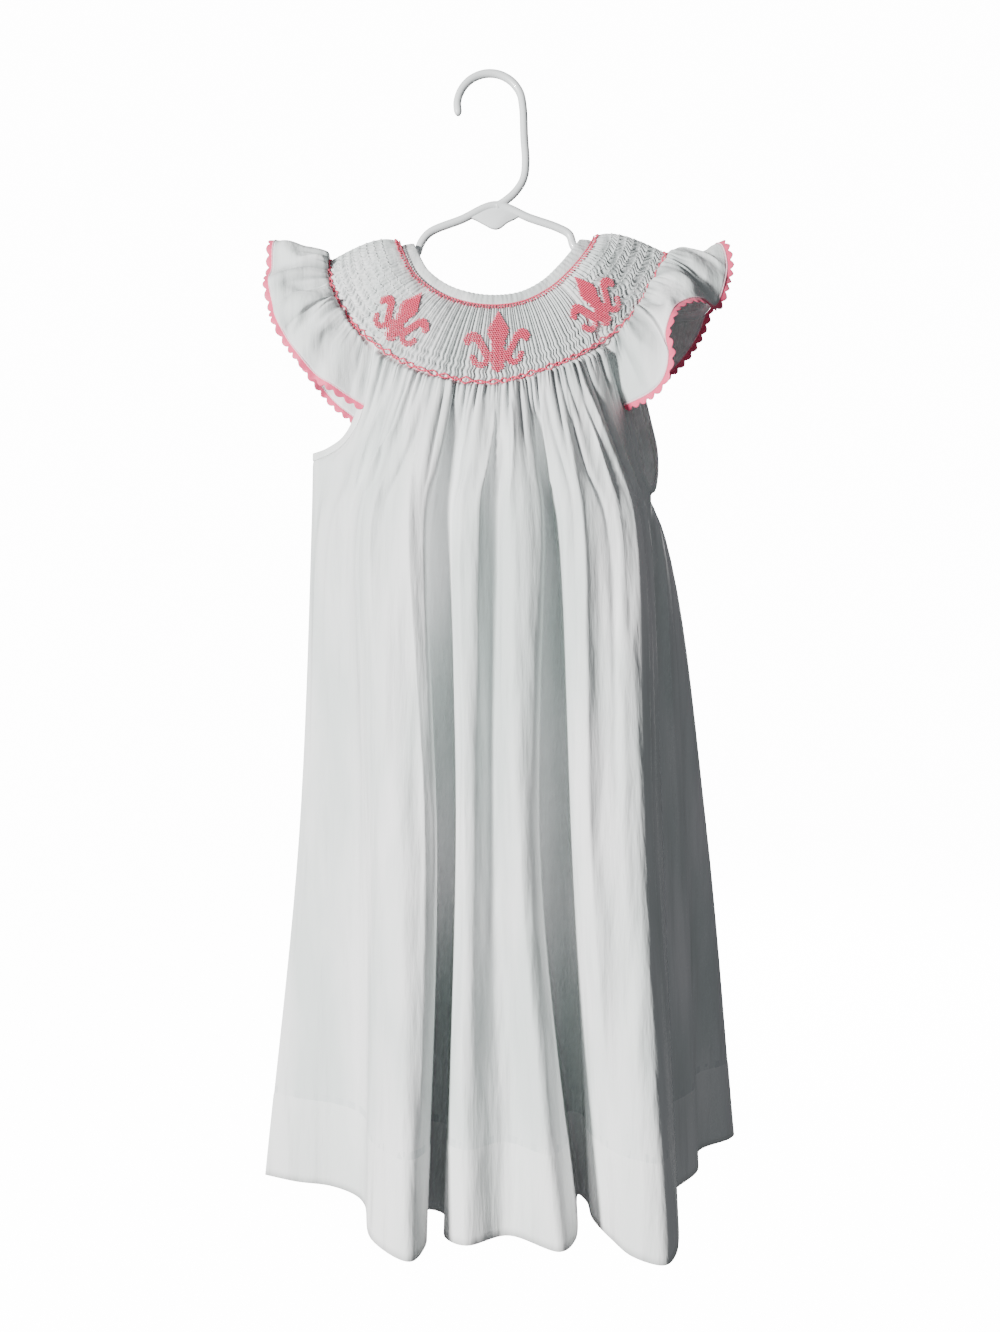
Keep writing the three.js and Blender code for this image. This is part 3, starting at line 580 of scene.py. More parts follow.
def gathers(panel, count, across, level):
    """Soft tubes that the smocking lets go below the yoke, uneven in width and length, halved at first:
    how high they stand, and how much painted shade a place gets in the gaps between them."""
    place = across * count + 0.3 * np.sin(across * 31) + 0.22 * np.sin(across * 57 + 1)
    tube = np.floor(place)
    ends = (0.9 + 2.6 * np.sin(tube * 2.4 + panel.start) ** 2) * panel.gather_length
    height = GATHER_HEIGHT + 1.6 * np.sin(tube * 1.7 + panel.end)
    fade = ease(1.25 - level / ends) * np.interp(level, *GATHER_KEPT)
    standing = np.abs(np.sin(math.pi * place)) ** np.interp(level, *GATHER_NARROW)
    halves = np.abs(np.sin(2 * math.pi * place + 0.6 * np.sin(tube))) ** 0.5
    first = ease(1 - level / HALF_LENGTH / panel.half_length)
    lift = (height * standing * fade + HALF_HEIGHT * halves * first) * ease(level / 0.1)
    # Painted shade in the gaps between the tubes, for the cotton's colour.
    gap = (1 - standing) ** 0.6 * fade * ease(1 - level / 3) + 0.4 * (1 - halves) ** 0.6 * first
    return lift, gap


# Creases that run down a panel: where each lies across it, the levels where it starts and ends, its height
# in millimetres (below 0 for a groove), its width across the panel and how far it wanders sideways. These
# columns are in parts of CREASE_PARTS.
CREASE_PARTS = (1000, 10, 10, 10, 1000, 1000)
CREASES = {
    "front": [
        (35, 26, 49, 14, 12, 10), (75, 13, 36, -12, 8, -12), (115, 9, 32, 18, 7, 10),
        (150, 5, 44, -16, 6, 14), (185, 12, 29, 26, 10, -20), (215, 22, 46, 16, 8, 8),
        (250, 6, 30, -18, 6, 10), (285, 16, 48, 18, 9, -10), (420, 8, 34, -16, 6, 6),
        (455, 18, 49, 15, 8, -8), (490, 6, 38, 16, 6, 10), (530, 12, 47, -18, 7, 8),
        (560, 4, 32, 18, 6, -6), (680, 7, 46, 17, 6, 10), (715, 4, 36, -18, 5, -8),
        (745, 10, 49, 20, 7, 6), (780, 5, 40, -17, 5, 10), (810, 8, 47, 18, 6, -8),
        (845, 4, 34, 19, 5, 8), (880, 9, 44, -18, 6, 6), (915, 12, 49, 16, 8, -10),
        (955, 18, 40, -13, 8, 6),
    ],
    "back_right": [
        (70, 24, 48, 15, 15, 10), (150, 14, 39, -14, 12, -12), (240, 8, 42, 17, 12, 10),
        (330, 5, 30, -16, 10, 10), (410, 10, 47, 16, 13, -10), (520, 4, 34, 18, 10, 8),
        (600, 8, 45, -15, 12, 10), (690, 5, 32, 16, 10, -10), (780, 11, 48, 15, 12, 10),
        (880, 9, 38, -14, 10, 6),
    ],
    "back_left": [
        (120, 9, 40, -14, 11, 8), (210, 6, 33, 17, 10, -10), (300, 10, 48, 15, 13, 10),
        (390, 5, 31, -16, 10, 10), (480, 8, 45, 17, 12, -12), (580, 4, 36, 16, 10, 10),
        (670, 10, 47, -15, 12, -8), (770, 7, 32, 18, 11, 10), (870, 16, 49, 14, 14, 10),
        (950, 26, 44, -12, 12, -6),
    ],
    "sleeve_left": [
        (140, 1, 9, 20, 16, 20), (250, 0.5, 8, -18, 14, -20), (360, 1, 11, 20, 16, 20),
        (470, 0.5, 7, -16, 12, 20), (560, 1, 9, 22, 15, -20), (670, 0.5, 8, -18, 13, 20),
        (760, 1, 10, 22, 15, 15), (860, 1, 8, -16, 14, -15),
    ],
    "sleeve_right": [
        (120, 1, 9, 16, 16, 10), (240, 0.5, 8, -16, 14, -10), (350, 1, 9, 18, 14, 10),
        (440, 0.5, 7, -16, 12, 10), (530, 1, 10, 22, 13, -10), (610, 0.5, 9, -20, 12, 10),
        (690, 1, 9, 22, 12, 10), (780, 0.5, 8, -18, 12, -10), (880, 1, 9, 16, 14, 10),
    ],
}


def crease_height(name, panel, across, level):
    """How far a panel's creases raise it at one level."""
    height = np.zeros(len(across))
    for place, start, end, high, width, sway in np.array(CREASES[name]) / CREASE_PARTS:
        if start < level < end:
            share = (level - start) / (end - start)
            middle = place + sway * math.sin(math.pi * (1.6 * share + place * 9))
            swell = math.sin(math.pi * share ** 0.7) ** 0.8
            aside = np.abs(across - middle) / (panel.crease_width * width)
            height = height + panel.crease_depth * high * swell * np.exp(-aside ** 1.25)
    return height


# How high the pleats stand in millimetres, and how much painted shade falls in the furrows between them,
# by level
PLEAT_HEIGHT = ([-1, -0.95, -0.6, -0.3, -0.03, 0, 0.06, 0.25, 0.5],
                [0.7, 1.5, 1.7, 1.9, 1.8, 1.4, 1.5, 0.7, 0])
FURROW_SHADE = ([-1, -0.9, 0, 0.3], [0.4, 0.9, 1, 0])
ROW_PITCH = 0.1  # between the rows of stitches that hold the pleats
SOFT_EDGE = 0.03  # the share of a panel where its pleats and creases die away at each side


def cloth_grid(name, panel, levels, pleats, gather_count, flat):
    """A panel row by row: its plain points, the way out of the cloth, how far the cloth stands out, its
    thickness, the places on the cut piece and how much painted shade each point gets in furrows, gaps and
    grooves. The shares in flat lie unpleated at the panel's two sides."""
    across, standing = pleat_columns(pleats)
    beside = ease(across / SOFT_EDGE) * ease((1 - across) / SOFT_EDGE)
    lying = 1
    if any(flat):
        from_start, to_end = across - flat[0], 1 - flat[1] - across
        lying = ease(from_start / SOFT_EDGE + 1e-6) * ease(to_end / SOFT_EDGE + 1e-6)
    rows, lifts, painted_shades = [], [], []
    for level in levels:
        aside = zigzag(panel, across, level) / pleats * beside if level < 0 else 0
        rows.append(panel.row(level, np.clip(across + aside, 0, 1)))
        lift = standing * np.interp(level, *PLEAT_HEIGHT)
        between_rows = 0.5 + 0.5 * np.sin(2 * math.pi * level / ROW_PITCH + 0.5 * np.sin(across * 40))
        shade = 1 - panel.row_shade * between_rows
        # Painted shade in the furrows between pleats, varied between the rows of stitches.
        painted_shade = (1 - standing) ** 0.5 * shade * np.interp(level, *FURROW_SHADE)
        if level > 0:
            tubes, gap_shade = gathers(panel, gather_count, across, level)
            lift, painted_shade = lift + tubes, np.maximum(painted_shade, gap_shade)
        crease = crease_height(name, panel, across, level)
        # Painted shade in the creases' grooves.
        painted_shade = np.maximum(painted_shade, np.clip(-crease / 5, 0, panel.crease_shade))
        lifts.append((lift + crease) * beside * lying)
        painted_shades.append(painted_shade * beside * lying)
    plain, levels = np.array(rows), np.array(levels)
    down, sideways = np.gradient(plain, axis=0), np.gradient(plain, axis=1)
    out = unit(np.cross(down, sideways))
    thick = SMOCKED + (CLOTH - SMOCKED) * ease(levels / 0.2)
    places = np.stack(np.broadcast_arrays(across[None, :], levels[:, None] / panel.bottom), axis=-1)
    return plain, out, np.array(lifts), thick[:, None], places, np.clip(painted_shades, 0, 1)


HEM_OUT, HEM_IN = 0.3, 0.5  # how much the turned-up hem thickens the cloth
FLUTTER_LENGTH = 0.4  # how far down its finish a flutter reaches: the hem's fold is at 0.5
hem_level = 4 + (MID_Z - (HEM_Z + HEM_DEPTH)) / (MID_Z - HEM_Z)
skirt_levels = np.concatenate([
    np.linspace(-1, 0, 61), np.linspace(0, 1, 21)[1:] ** 1.4, np.linspace(1, hem_level, 36)[1:],
    [hem_level + 0.008], np.linspace(hem_level + 0.03, 5, 10),
])
sleeve_levels = np.concatenate([np.linspace(-1, 0, 61), np.linspace(0, 1, 31)[1:] ** 1.3])


def cloth_piece(name, panel, levels, pleats, gather_count, flat):
    """A panel as thin cloth: pleated outside, plain inside, and doubled below the hem's fold line."""
    plain, out, lift, thick, places, painted_shade = cloth_grid(name, panel, levels, pleats, gather_count, flat)
    outer = plain + out * lift[..., None]
    depth = np.broadcast_to(thick, lift.shape)
    inner = plain - out * depth[..., None] + out * np.minimum(lift, 0)[..., None]
    sideways, down = places[..., 0], places[..., 1]
    if panel.bottom == 5:
        turned = (np.array(levels) > hem_level + 0.001)[:, None, None]
        outer = outer + out * turned * HEM_OUT
        inner = inner - out * turned * HEM_IN
        fold = hem_level / 5
        down = np.where(down < fold, down / fold * 0.5, 0.5 + (down - fold) / (1 - fold) * 0.5)
    else:
        down = down * FLUTTER_LENGTH
    places = np.stack([sideways, down], axis=-1)
    vertices, faces = shell(outer, inner)
    uv = np.vstack([places.reshape(-1, 2)] * 2)
    # Painted shade on the outer side only.
    painted_shade = np.concatenate([painted_shade.ravel(), np.zeros(painted_shade.size)])
    return mesh_piece(f"{name}_cloth", vertices, faces, [cotton], uv, painted_shade)


BACK_FLAT = 0.14  # the share of each back half that lies unpleated under the placket
cloths = {}
for name, panel, levels, kind, flat in (
    ("front", front, skirt_levels, "front", (0, 0)),
    ("back_right", back_right, skirt_levels, "half_back", (0, BACK_FLAT)),
    ("back_left", back_left, skirt_levels, "half_back", (BACK_FLAT, 0)),
    ("sleeve_left", sleeve_left, sleeve_levels, "sleeve", (0, 0)),
    ("sleeve_right", sleeve_right, sleeve_levels, "sleeve", (0, 0)),
):
    cloths[name] = cloth_piece(name, panel, levels, PLEATS[kind], GATHERS[kind], flat)
    dress(cloths[name], name)


# Bindings and trim

def band_piece(name, sections, finish):
    """A closed band with the same ring of points at each step along it."""
    sections = np.array(sections)
    steps, sides = sections.shape[:2]
    here = np.arange((steps - 1) * sides)
    beside = here - here % sides + (here + 1) % sides
    faces = np.stack([here, beside, beside + sides, here + sides], axis=1).tolist()
    faces.append(range(sides)[::-1])
    faces.append(range((steps - 1) * sides, steps * sides))
    return mesh_piece(name, sections.reshape(-1, 3), faces, [finish])


def rounded(width, thick, points=14, power=0.5):
    """Corners of a flat strip with rounded edges, from 0 to width and 0 to thick."""
    turn = angles(points)
    shape = lambda value: 0.5 + 0.5 * (np.sign(value) * np.abs(value) ** power)
    return np.stack([width * shape(np.cos(turn)), thick * shape(np.sin(turn))], axis=1)


def neck_binding():
    """A rolled bias strip round the neck, open at the centre back, with small tucks in its outside."""
    steps = 400
    station = np.linspace(0.04, STATIONS - 0.04, steps)
    base = neck_line(station / STATIONS)
    up, out = unit(base - edge_line(station / STATIONS)), yoke_out(station)
    tucks = 0.3 * np.sin(np.arange(steps) * 1.65 + 0.7 * np.sin(np.arange(steps) * 0.31))
    sections = []
    for rise, depth in rounded(BINDING_WIDTH - SEAM_GAP, BINDING_THICK):
        tuck = tucks * (rise / BINDING_WIDTH) * (depth > BINDING_THICK / 2)
        lean = -0.9 * (rise / BINDING_WIDTH) ** 2
        height = depth - BINDING_SUNK + lean + tuck
        sections.append(base + up * (rise + SEAM_GAP) + out * height[:, None])
    return band_piece("neck_binding_cloth", np.stack(sections, axis=1), plain_cotton)


def armhole_band(side):
    """A narrow bias strip round the lower part of an armhole."""
    path, facing = armhole_line[side], Spline(BAND_OUT[side])
    place = np.linspace(0.004, 0.996, 70)
    along = unit(np.gradient(path(place), axis=0))
    turn = -1 if side == "left" else 1
    out = unit(np.cross(unit(facing(place)), along)) * turn
    normal = unit(np.cross(along, out)) * turn
    corners = [path(place) + out * (rise + SEAM_GAP) + normal * (0.2 - depth)
               for rise, depth in rounded(BAND_WIDTH - SEAM_GAP, BAND_THICK, 10)][::-turn]
    return band_piece(f"armhole_binding_{side}_cloth", np.stack(corners, axis=1), plain_cotton)


def flutter_edge(panel, places):
    """Along a flutter's free edge: its points, the way off the cloth and the way it faces."""
    points, within = panel.row(1, places), panel.row(0.97, places)
    sideways = unit(np.gradient(points, axis=0))
    out = unit(np.cross(unit(points - within), sideways))
    return points, unit(np.cross(sideways, out)), out


def scalloped_trim(side, panel):
    """Pink edging along a flutter: round scallops with sharp notches between them."""
    scallops = round(panel.edge.length() / SCALLOP_PITCH)
    steps = scallops * 12
    places = np.linspace(0.5 / steps, 1 - 0.5 / steps, steps + 1)
    points, away, out = flutter_edge(panel, places)
    roundness = (np.sin(math.pi * places * scallops) ** 2) ** 0.45
    reach = TRIM_VALLEY + (TRIM_PEAK - TRIM_VALLEY) * roundness
    corners = []
    for share, depth in rounded(1, TRIM_THICK, 12, 0.7):
        ripple = 0.25 * np.sin(2 * math.pi * places * scallops) * share
        sideways, height = 0.2 + share * reach, depth - 0.8 + ripple
        corners.append(points + away * sideways[:, None] + out * height[:, None])
    return band_piece(f"sleeve_trim_{side}_edging", np.stack(corners[::-1], axis=1), lace)


def rolled_edge(side, panel):
    """The narrow rolled edge between a flutter and its trim."""
    steps, radius = 420, 0.6
    points, away, out = flutter_edge(panel, np.linspace(0.002, 0.998, steps))
    twist = 1 + 0.18 * np.sin(np.arange(steps) * 1.9)
    corners = [points + away * ((0.1 + radius * math.cos(a)) * twist)[:, None]
               + out * ((-0.15 + radius * math.sin(a)) * twist)[:, None] for a in angles(6)]
    return band_piece(f"rolled_edge_{side}", np.stack(corners[::-1], axis=1), pale_lace)


dress(neck_binding(), "neck_binding")
flutters = {"left": sleeve_left, "right": sleeve_right}
bands = {side: armhole_band(side) for side in flutters}
trims = {side: scalloped_trim(side, panel) for side, panel in flutters.items()}
rolls = {side: rolled_edge(side, panel) for side, panel in flutters.items()}
for side in flutters:
    dress(bands[side], f"armhole_binding_{side}")
    dress(trims[side], f"sleeve_trim_{side}")
    dress(rolls[side], None)


# Placket and buttons down the centre back

def back_at(sideways, level):
    """A point beside the centre back at one level; sideways is in millimetres, to the photo's right."""
    panel = back_right if sideways > 0 else back_left
    ends = panel.row(level, np.array([0.0, 1.0]))
    share = abs(sideways) / np.linalg.norm(ends[1] - ends[0])
    return panel.row(level, np.array([1 - share if sideways > 0 else share]))[0]


def back_out(level):
    """The way the centre back faces."""
    down = back_at(0, level + 0.02) - back_at(0, level - 0.02)
    return unit(np.cross(down, back_at(-3, level) - back_at(3, level)))


def placket():
    """The strip that covers the back opening, over both halves of the back."""
    sections = []
    for level in np.linspace(PLACKET_TOP, PLACKET_BOTTOM, 60):
        out = back_out(level)
        sections.append([back_at(PLACKET_WIDTH / 2 - across, level) + out * (SEAM_GAP + depth)
                         for across, depth in rounded(PLACKET_WIDTH, PLACKET_THICK, 16, 0.4)])
    return band_piece("back_placket_cloth", sections, plain_cotton)


def sweep(points, radius, sides=20):
    """Rings of points round a path of points."""
    points = np.asarray(points)
    along = unit(np.gradient(points, axis=0))
    side = unit(np.cross(along, (0, 1, 0.0001)))
    across = np.cross(along, side)
    radius = np.broadcast_to(radius, len(points))[:, None]
    spokes = [side * math.cos(a) + across * math.sin(a) for a in angles(sides)]
    return np.stack([points + spoke * radius for spoke in spokes], axis=1)


def hanger():
    """Hook and shank, the two bent arms, the lower bar and the web in the crotch, joined in one piece."""
    centre = -(HOOK_RADIUS - TUBE)
    bend = np.radians(np.linspace(196, 0, 9))
    hook = [(HOOK_RADIUS * math.cos(a), 0, centre + HOOK_RADIUS * math.sin(a)) for a in bend]
    shank = [(24, 0, -42), (25, 0, -60), (23.5, 0, -71), (18, 0, -80), (10, 0, -87), (4, 0, -90.5)]
    below_cloth = YOKE_WALL + 2 * SEAM_GAP + TUBE
    under = lambda station: yoke_at(station, 0.2) * (1, 0, 1) - (0, 0, below_cloth)
    frame_path = [
        (-118, 0, -168), (-132, 0, -167), (-139, 0, -161), (-139, 0, -153), (-132, 0, -147),
        (-112, 0, -137.6), (-86, 0, -127), under(LEFT_SHOULDER), (-64, 0, -124.5), (-57, 0, -127),
        (-51.5, 0, -124), (-48, 0, -115.5), (-42, 0, -108.5), (-20, 0, -99.5), (4, 0, -89.5),
        (28, 0, -98.5), (48, 0, -105.5), (55.5, 0, -110), (58.5, 0, -118), (63.5, 0, -123.5),
        (72, 0, -121.5), under(RIGHT_SHOULDER), (96, 0, -121.5), (123, 0, -131.5), (145, 0, -141.5),
        (152, 0, -148), (153, 0, -157), (147, 0, -165), (133, 0, -168), (120, 0, -168),
    ]
    bar = [(-124, 0, -168), (0, 0, -168.3), (126, 0, -168)]
    paths = [(hook + shank, TUBE, 150), (frame_path, TUBE, 320), (bar, BAR, 30)]
    parts = []
    for k, (path, radius, steps) in enumerate(paths):
        points = Spline(path).even(np.linspace(0, 1, steps))
        sizes = np.full(steps, float(radius))
        if k == 0:
            sizes[:4] = radius * np.array([0.5, 0.8, 0.93, 1])
        parts.append(band_piece(f"hanger_part_{k}", sweep(points, sizes), plastic))
    crotch = [(-15, 0, -97), (-9, 0, -100.5), (-4, 0, -103.2), (1, 0, -105.8), (4.5, 0, -106.4),
              (8, 0, -105.2), (12, 0, -102), (21, 0, -96.5), (4, 0, -89)]
    edge = Spline(crotch, closed=True)(np.linspace(0, 1, 48, endpoint=False))
    middle = edge.mean(axis=0)
    web = [middle + (edge - middle) * share + (0, y, 0) for share, y in
           ((0.9, 1.6), (0.97, 1.3), (1, 0.9), (1, -0.9), (0.97, -1.3), (0.9, -1.6))]
    parts.append(band_piece("hanger_web", web, plastic))
    with bpy.context.temp_override(active_object=parts[0], selected_editable_objects=parts):
        bpy.ops.object.join()
    parts[0].name = "plastic_hanger"
    return parts[0]


# Half of a button's section: shares of its radius and of its thickness, from its back to its face
BUTTON_PROFILE = [(0, 0), (0.8, 0), (0.95, 0.12), (1, 0.45), (0.97, 0.8), (0.88, 0.98), (0.78, 0.9),
                  (0.64, 0.72), (0.4, 0.66), (0, 0.66)]


def button(number, level):
    """A pearl button with a rolled rim and two holes."""
    out = back_out(level)
    seat = back_at(0, level) + out * (2 * SEAM_GAP + PLACKET_THICK + 0.1)
    side = unit(np.cross(out, (0, 0, 1)))
    up = np.cross(side, out)
    round_it = [side * math.cos(a) + up * math.sin(a) for a in angles(40)]
    rings = [[seat + spoke * max(share, 0.001) * BUTTON_RADIUS + out * height * BUTTON_THICK
              for spoke in round_it] for share, height in BUTTON_PROFILE]
    piece = band_piece(f"pearl_button_{number}", rings, pearl)
    for across in (-1.3, 1.3):
        hole = sweep([seat + side * across - out, seat + side * across + out * 4], 0.75, 12)
        cutter = band_piece("hole", hole, pearl)
        cut = piece.modifiers.new("hole", "BOOLEAN")
        cut.operation, cut.object, cut.solver = "DIFFERENCE", cutter, "EXACT"
        pierced = modified_mesh(piece)
        piece.modifiers.remove(cut)
        piece.data = pierced
        bpy.data.objects.remove(cutter)
    return piece


dress(placket(), "back_placket")
dress(hanger(), "hanger")
for number, level in enumerate(BUTTON_LEVELS, start=1):
    dress(button(number, level), f"button_{number}")


# Smocking stitches. Each is a short plump length of thread, laid on the pleats' outer points.

def thread_nodes():
    """Puts a stitch on every point, lying along the point's own direction."""
    tree = bpy.data.node_groups.new("stitches", "GeometryNodeTree")
    tree.interface.new_socket("Points", in_out="INPUT", socket_type="NodeSocketGeometry")
    sockets = [tree.interface.new_socket(name, in_out="INPUT", socket_type=kind)
               for name, kind in (("Thickness", "NodeSocketFloat"), ("Thread", "NodeSocketMaterial"))]
    tree.interface.new_socket("Stitches", in_out="OUTPUT", socket_type="NodeSocketGeometry")
    make = tree.nodes.new
    start, end = make("NodeGroupInput"), make("NodeGroupOutput")

    def read(name, kind):
        node = make("GeometryNodeInputNamedAttribute")
        node.data_type = kind
        node.inputs["Name"].default_value = name
        return node

    stitch = make("GeometryNodeMeshUVSphere")
    stitch.inputs["Segments"].default_value, stitch.inputs["Rings"].default_value = 6, 4
    stitch.inputs["Radius"].default_value = 0.5
    turn = make("FunctionNodeAxesToRotation")
    turn.primary_axis, turn.secondary_axis = "X", "Z"
    size = make("ShaderNodeCombineXYZ")
    place, real = make("GeometryNodeInstanceOnPoints"), make("GeometryNodeRealizeInstances")
    smooth, dye = make("GeometryNodeSetShadeSmooth"), make("GeometryNodeSetMaterial")
    for source, output, target, socket in (
        (read("along", "FLOAT_VECTOR"), "Attribute", turn, "Primary Axis"),
        (read("out", "FLOAT_VECTOR"), "Attribute", turn, "Secondary Axis"),
        (read("reach", "FLOAT"), "Attribute", size, "X"),
        (start, "Thickness", size, "Y"),
        (start, "Thickness", size, "Z"),
        (start, "Points", place, "Points"),
        (stitch, "Mesh", place, "Instance"),
        (turn, "Rotation", place, "Rotation"),
        (size, "Vector", place, "Scale"),
        (place, "Instances", real, "Geometry"),
        (real, "Geometry", smooth, "Geometry"),
        (smooth, "Geometry", dye, "Geometry"),
        (start, "Thread", dye, "Material"),
        (dye, "Geometry", end, "Stitches"),
    ):
        tree.links.new(source.outputs[output], target.inputs[socket])
    return tree, [socket.identifier for socket in sockets]


stitch_tree, (thickness_input, thread_input) = thread_nodes()


def sewn(name, points, along, out, reach, thickness, thread):
    """One piece made of stitches at these points."""
    mesh = bpy.data.meshes.new(name)
    mesh.from_pydata((np.asarray(points) * MM).tolist(), [], [])
    for key, kind, values in (("along", "FLOAT_VECTOR", along), ("out", "FLOAT_VECTOR", out),
                              ("reach", "FLOAT", np.broadcast_to(reach, len(points)) * MM)):
        layer = mesh.attributes.new(key, kind, "POINT")
        field = "vector" if kind == "FLOAT_VECTOR" else "value"
        layer.data.foreach_set(field, np.asarray(values, np.float32).ravel())
    piece = new_object(name, mesh)
    nodes = piece.modifiers.new("stitches", "NODES")
    nodes.node_group = stitch_tree
    nodes[thickness_input], nodes[thread_input] = thickness * MM, thread
    made = modified_mesh(piece)
    piece.modifiers.remove(nodes)
    piece.data = made
    return piece


def on_yoke(station, down, lift):
    """Points so far over the yoke, with the way round it, the way down it and the way out of it."""
    down = np.broadcast_to(np.asarray(down, float), np.shape(station))
    round_it = unit(yoke_at(station + 0.02, down) - yoke_at(station - 0.02, down))
    fall = unit(yoke_at(station, down + 0.02) - yoke_at(station, down - 0.02))
    out = unit(np.cross(fall, round_it))
    points = yoke_at(station, down) + out * np.broadcast_to(lift, np.shape(station))[..., None]
    return points, round_it, fall, out


def slanted(round_it, fall, degrees):
    """The way a stitch lies: 0 degrees round the yoke and 90 down it."""
    angle = np.radians(np.broadcast_to(degrees, len(round_it)))[:, None]
    return round_it * np.cos(angle) + fall * np.sin(angle)


def neck_stitches():
    """A line of lapping stitches under the neck binding, with a short upright one below each."""
    count = 190
    station = np.linspace(0.12, STATIONS - 0.12, count)
    number = np.arange(2 * count)
    slant = np.where(number < count, 18 + 10 * np.sin(number * 1.3), 78 + 12 * np.sin(number * 2.1))
    down = np.where(number < count, 0.03, 0.062 + 0.006 * np.sin(number * 1.7))
    points, round_it, fall, out = on_yoke(np.concatenate([station, station]), down, 1.9)
    return sewn("neck_stitches", points, slanted(round_it, fall, slant), out, 2.8, 1.2, pink_thread)


def trellis():
    """Two strands of pink thread that cross each other in uneven zigzags along the yoke's outer edge."""
    waves, steps = 50, 9
    station = np.linspace(0.25, STATIONS - 0.25, waves * steps)
    run = waves * station / STATIONS + 0.13 * np.sin(station * 2.3) + 0.07 * np.sin(station * 6.1)
    points, along, out = [], [], []
    for shift, lower in ((0, 0), (0.5, 0.006)):
        swing = 2 / math.pi * np.arcsin(0.96 * np.sin(2 * math.pi * (run + shift)))
        size = 0.036 + 0.013 * np.sin(np.floor(2 * (run + shift)) * 2.3 + shift * 9)
        lift = 2.1 + 0.4 * np.cos(2 * math.pi * run + shift)
        strand, _, _, outwards = on_yoke(station, 0.985 + lower + size * swing, lift)
        points.append(strand)
        along.append(unit(np.gradient(strand, axis=0)))
        out.append(outwards)
    return sewn("trellis_stitches", np.vstack(points), np.vstack(along), np.vstack(out), 2.4, 1.2,
                pink_thread)


# Where the white rows lie: shares of the way down the yoke, then each stretch's first and last station and
# how many stitches it has
CABLE_DOWNS = (0.24, 0.34, 0.44, 0.54, 0.64, 0.74, 0.84, 0.92)
CABLE_STRETCHES = ((2.5, 7.6, 66), (12.5, 17.5, 62), (0.5, 2.3, 24), (17.7, 19.5, 24))


def cable_rows():
    """White rows that hold the pleats of the shoulders and the back, leaning to and fro by turns."""
    stations, downs, leans = [], [], []
    for down in CABLE_DOWNS:
        for start, end, count in CABLE_STRETCHES:
            place = np.linspace(start, end, count)
            stations.append(place)
            downs.append(down + 0.006 * np.sin(place * 5) + 0.004 * (-1) ** np.arange(count))
            leans.append(16 * (-1) ** np.arange(count))
    points, round_it, fall, out = on_yoke(np.concatenate(stations), np.concatenate(downs), 1.75)
    return sewn("cable_stitches", points, slanted(round_it, fall, np.concatenate(leans)), out, 2.1, 0.62,
                white_thread)


# A fleur-de-lis charted in rows from its tip to its foot: how far each run of stitches reaches from the
# middle line, in millimetres, the same on both sides. A run that begins at 0 goes across the middle.
FLEUR_ROWS = [
    [(0, 0.6)], [(0, 1.4)], [(0, 2.2)], [(0, 3)], [(0, 3.8)], [(0, 4.5)], [(0, 5.2)], [(0, 5.8)],
    [(0, 6.3)], [(0, 6.6)], [(0, 6.6)], [(0, 6.3), (13, 17)], [(0, 5.9), (11.6, 18.8)],
    [(0, 5.4), (10.6, 19.8)], [(0, 5), (9.7, 20.2)], [(0, 4.5), (8.9, 14.6), (16, 20.2)],
    [(0, 4.1), (8, 13.6), (16.4, 19.9)], [(0, 3.8), (7.2, 12.8), (17, 19)], [(0, 3.6), (6.4, 12)],
    [(0, 3.6), (5.6, 11.2)], [(0, 10.4)], [(0, 9.6)], [(0, 8.8), (14, 15.8)], [(0, 8.2), (13.2, 16.4)],
    [(0, 4.4), (5.6, 9.2), (12.4, 16.2)], [(0, 4), (6.4, 15.2)], [(0, 3.8), (7.6, 13.8)],
    [(0, 3.4), (9.4, 12)], [(0, 2.5)], [(0, 1.2)],
]
# Tip and foot of each motif, as a station and a share of the way down the yoke, and how far it fans out
FLEURS = [
    ((7.69, 0.16), (7.82, 0.87), 1),
    ((10.06, 0.13), (10.05, 0.88), 0.2),
    ((12.78, 0.15), (12.6, 0.88), 1),
]
FLEUR_PITCH = 1.42


def fleur_stitches():
    """The three motifs, worked in short slanted stitches set like bricks."""
    stations, downs = [], []
    length_at = lambda s, d: np.linalg.norm(yoke_at(s + 0.05, d) - yoke_at(s, d)) / 0.05
    for tip, foot, fan in FLEURS:
        middle = (tip[0] + foot[0]) / 2
        for row, runs in enumerate(FLEUR_ROWS):
            share = (row + 0.5) / len(FLEUR_ROWS)
            station, down = (a + (b - a) * share for a, b in zip(tip, foot))
            a_station = fan * length_at(middle, 0.45) + (1 - fan) * length_at(station, down)
            for across in np.arange(-16, 17) * FLEUR_PITCH + FLEUR_PITCH / 2 * (row % 2):
                if any(low - 0.6 <= abs(across) <= high + 0.4 for low, high in runs):
                    stations.append(station + across / a_station)
                    downs.append(down)
    points, round_it, fall, out = on_yoke(np.array(stations), np.array(downs), 2.35)
    return sewn("fleur_de_lis_stitches", points, slanted(round_it, fall, 38), out, 1.9, 1.15, pink_thread)


for stitches, slot in ((neck_stitches(), "pink_trim"), (trellis(), "pink_trim"),
                       (fleur_stitches(), "pink_trim"), (cable_rows(), "cotton")):
    dress(stitches, None)


# Setting

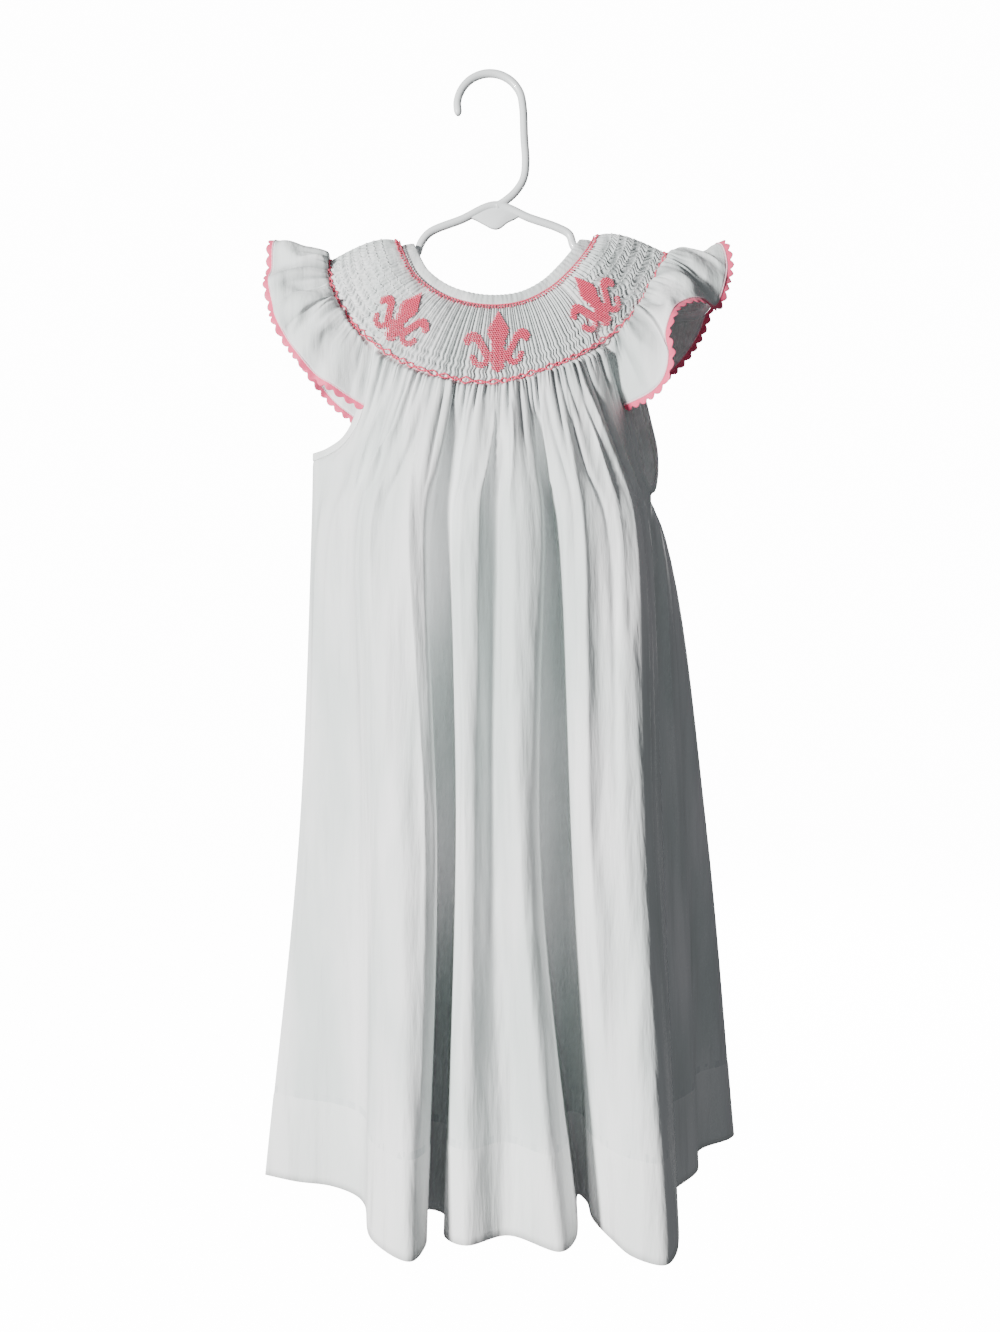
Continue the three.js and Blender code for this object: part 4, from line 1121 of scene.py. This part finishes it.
def area_light(name, place, aim, size, energy, tint):
    light = bpy.data.lights.new(name, "AREA")
    light.size, light.energy, light.color = size, energy, tint
    lamp = new_object(name, light)
    lamp.location = place
    lamp.rotation_euler = (Vector(aim) - Vector(place)).to_track_quat("-Z", "Y").to_euler()
    lamp.visible_camera = False


def backdrop():
    """A pale floor that sweeps up into a pale wall all round, seen but giving no light to the dress."""
    profile = [(0, 0, -1.05), (1.6, 0, -1.05), (2.5, 0, -1), (3.1, 0, -0.7), (3.3, 0, 0), (3.4, 0, 5)]
    steps = 40
    reach, _, height = (Spline(profile)(np.linspace(0, 1, steps)) / MM).T[..., None]
    turn = np.linspace(0, 2 * math.pi, 73)
    rings = np.stack(np.broadcast_arrays(reach * np.cos(turn), reach * np.sin(turn), height), axis=-1)
    paper = Finish("pale studio paper", Base_Color=colour(0.95, 0.95, 0.95), Roughness=1,
                   Emission_Color=colour(1, 1, 1), Emission_Strength=14).material
    paper.cycles.emission_sampling = "NONE"
    floor = mesh_piece("pale_floor", rings.reshape(-1, 3), grid_faces(steps, len(turn)), [paper])
    floor.visible_diffuse = floor.visible_glossy = floor.visible_shadow = False
    return floor


backdrop()
world = bpy.data.worlds.new("soft daylight")
bpy.context.scene.world = world
world.use_nodes = True
sky = world.node_tree.nodes["Background"]
sky.inputs["Color"].default_value, sky.inputs["Strength"].default_value = colour(0.93, 0.96, 1), 0.13
area_light("window", (-1.8, -1.8, -0.25), (0, 0, -0.45), 0.35, 180, (1, 0.995, 0.98))
area_light("room", (0.2, -2.4, 0.9), (0, 0, -0.4), 1.5, 5, (0.93, 0.97, 1))
area_light("room_behind", (0.7, 2.1, 0.4), (0, 0, -0.4), 0.8, 70, (1, 1, 0.99))

SENSOR, PHOTO_HEIGHT, FOCAL_PIXELS = 36, 1332, 1080
eye = bpy.data.cameras.new("photograph")
eye.sensor_fit, eye.sensor_height = "VERTICAL", SENSOR
eye.lens = SENSOR * FOCAL_PIXELS / PHOTO_HEIGHT
camera = new_object("photograph", eye)
camera.location = (0.007, -0.756, -0.412)
camera.rotation_euler = (math.pi / 2, 0, 0)
bpy.context.scene.camera = camera
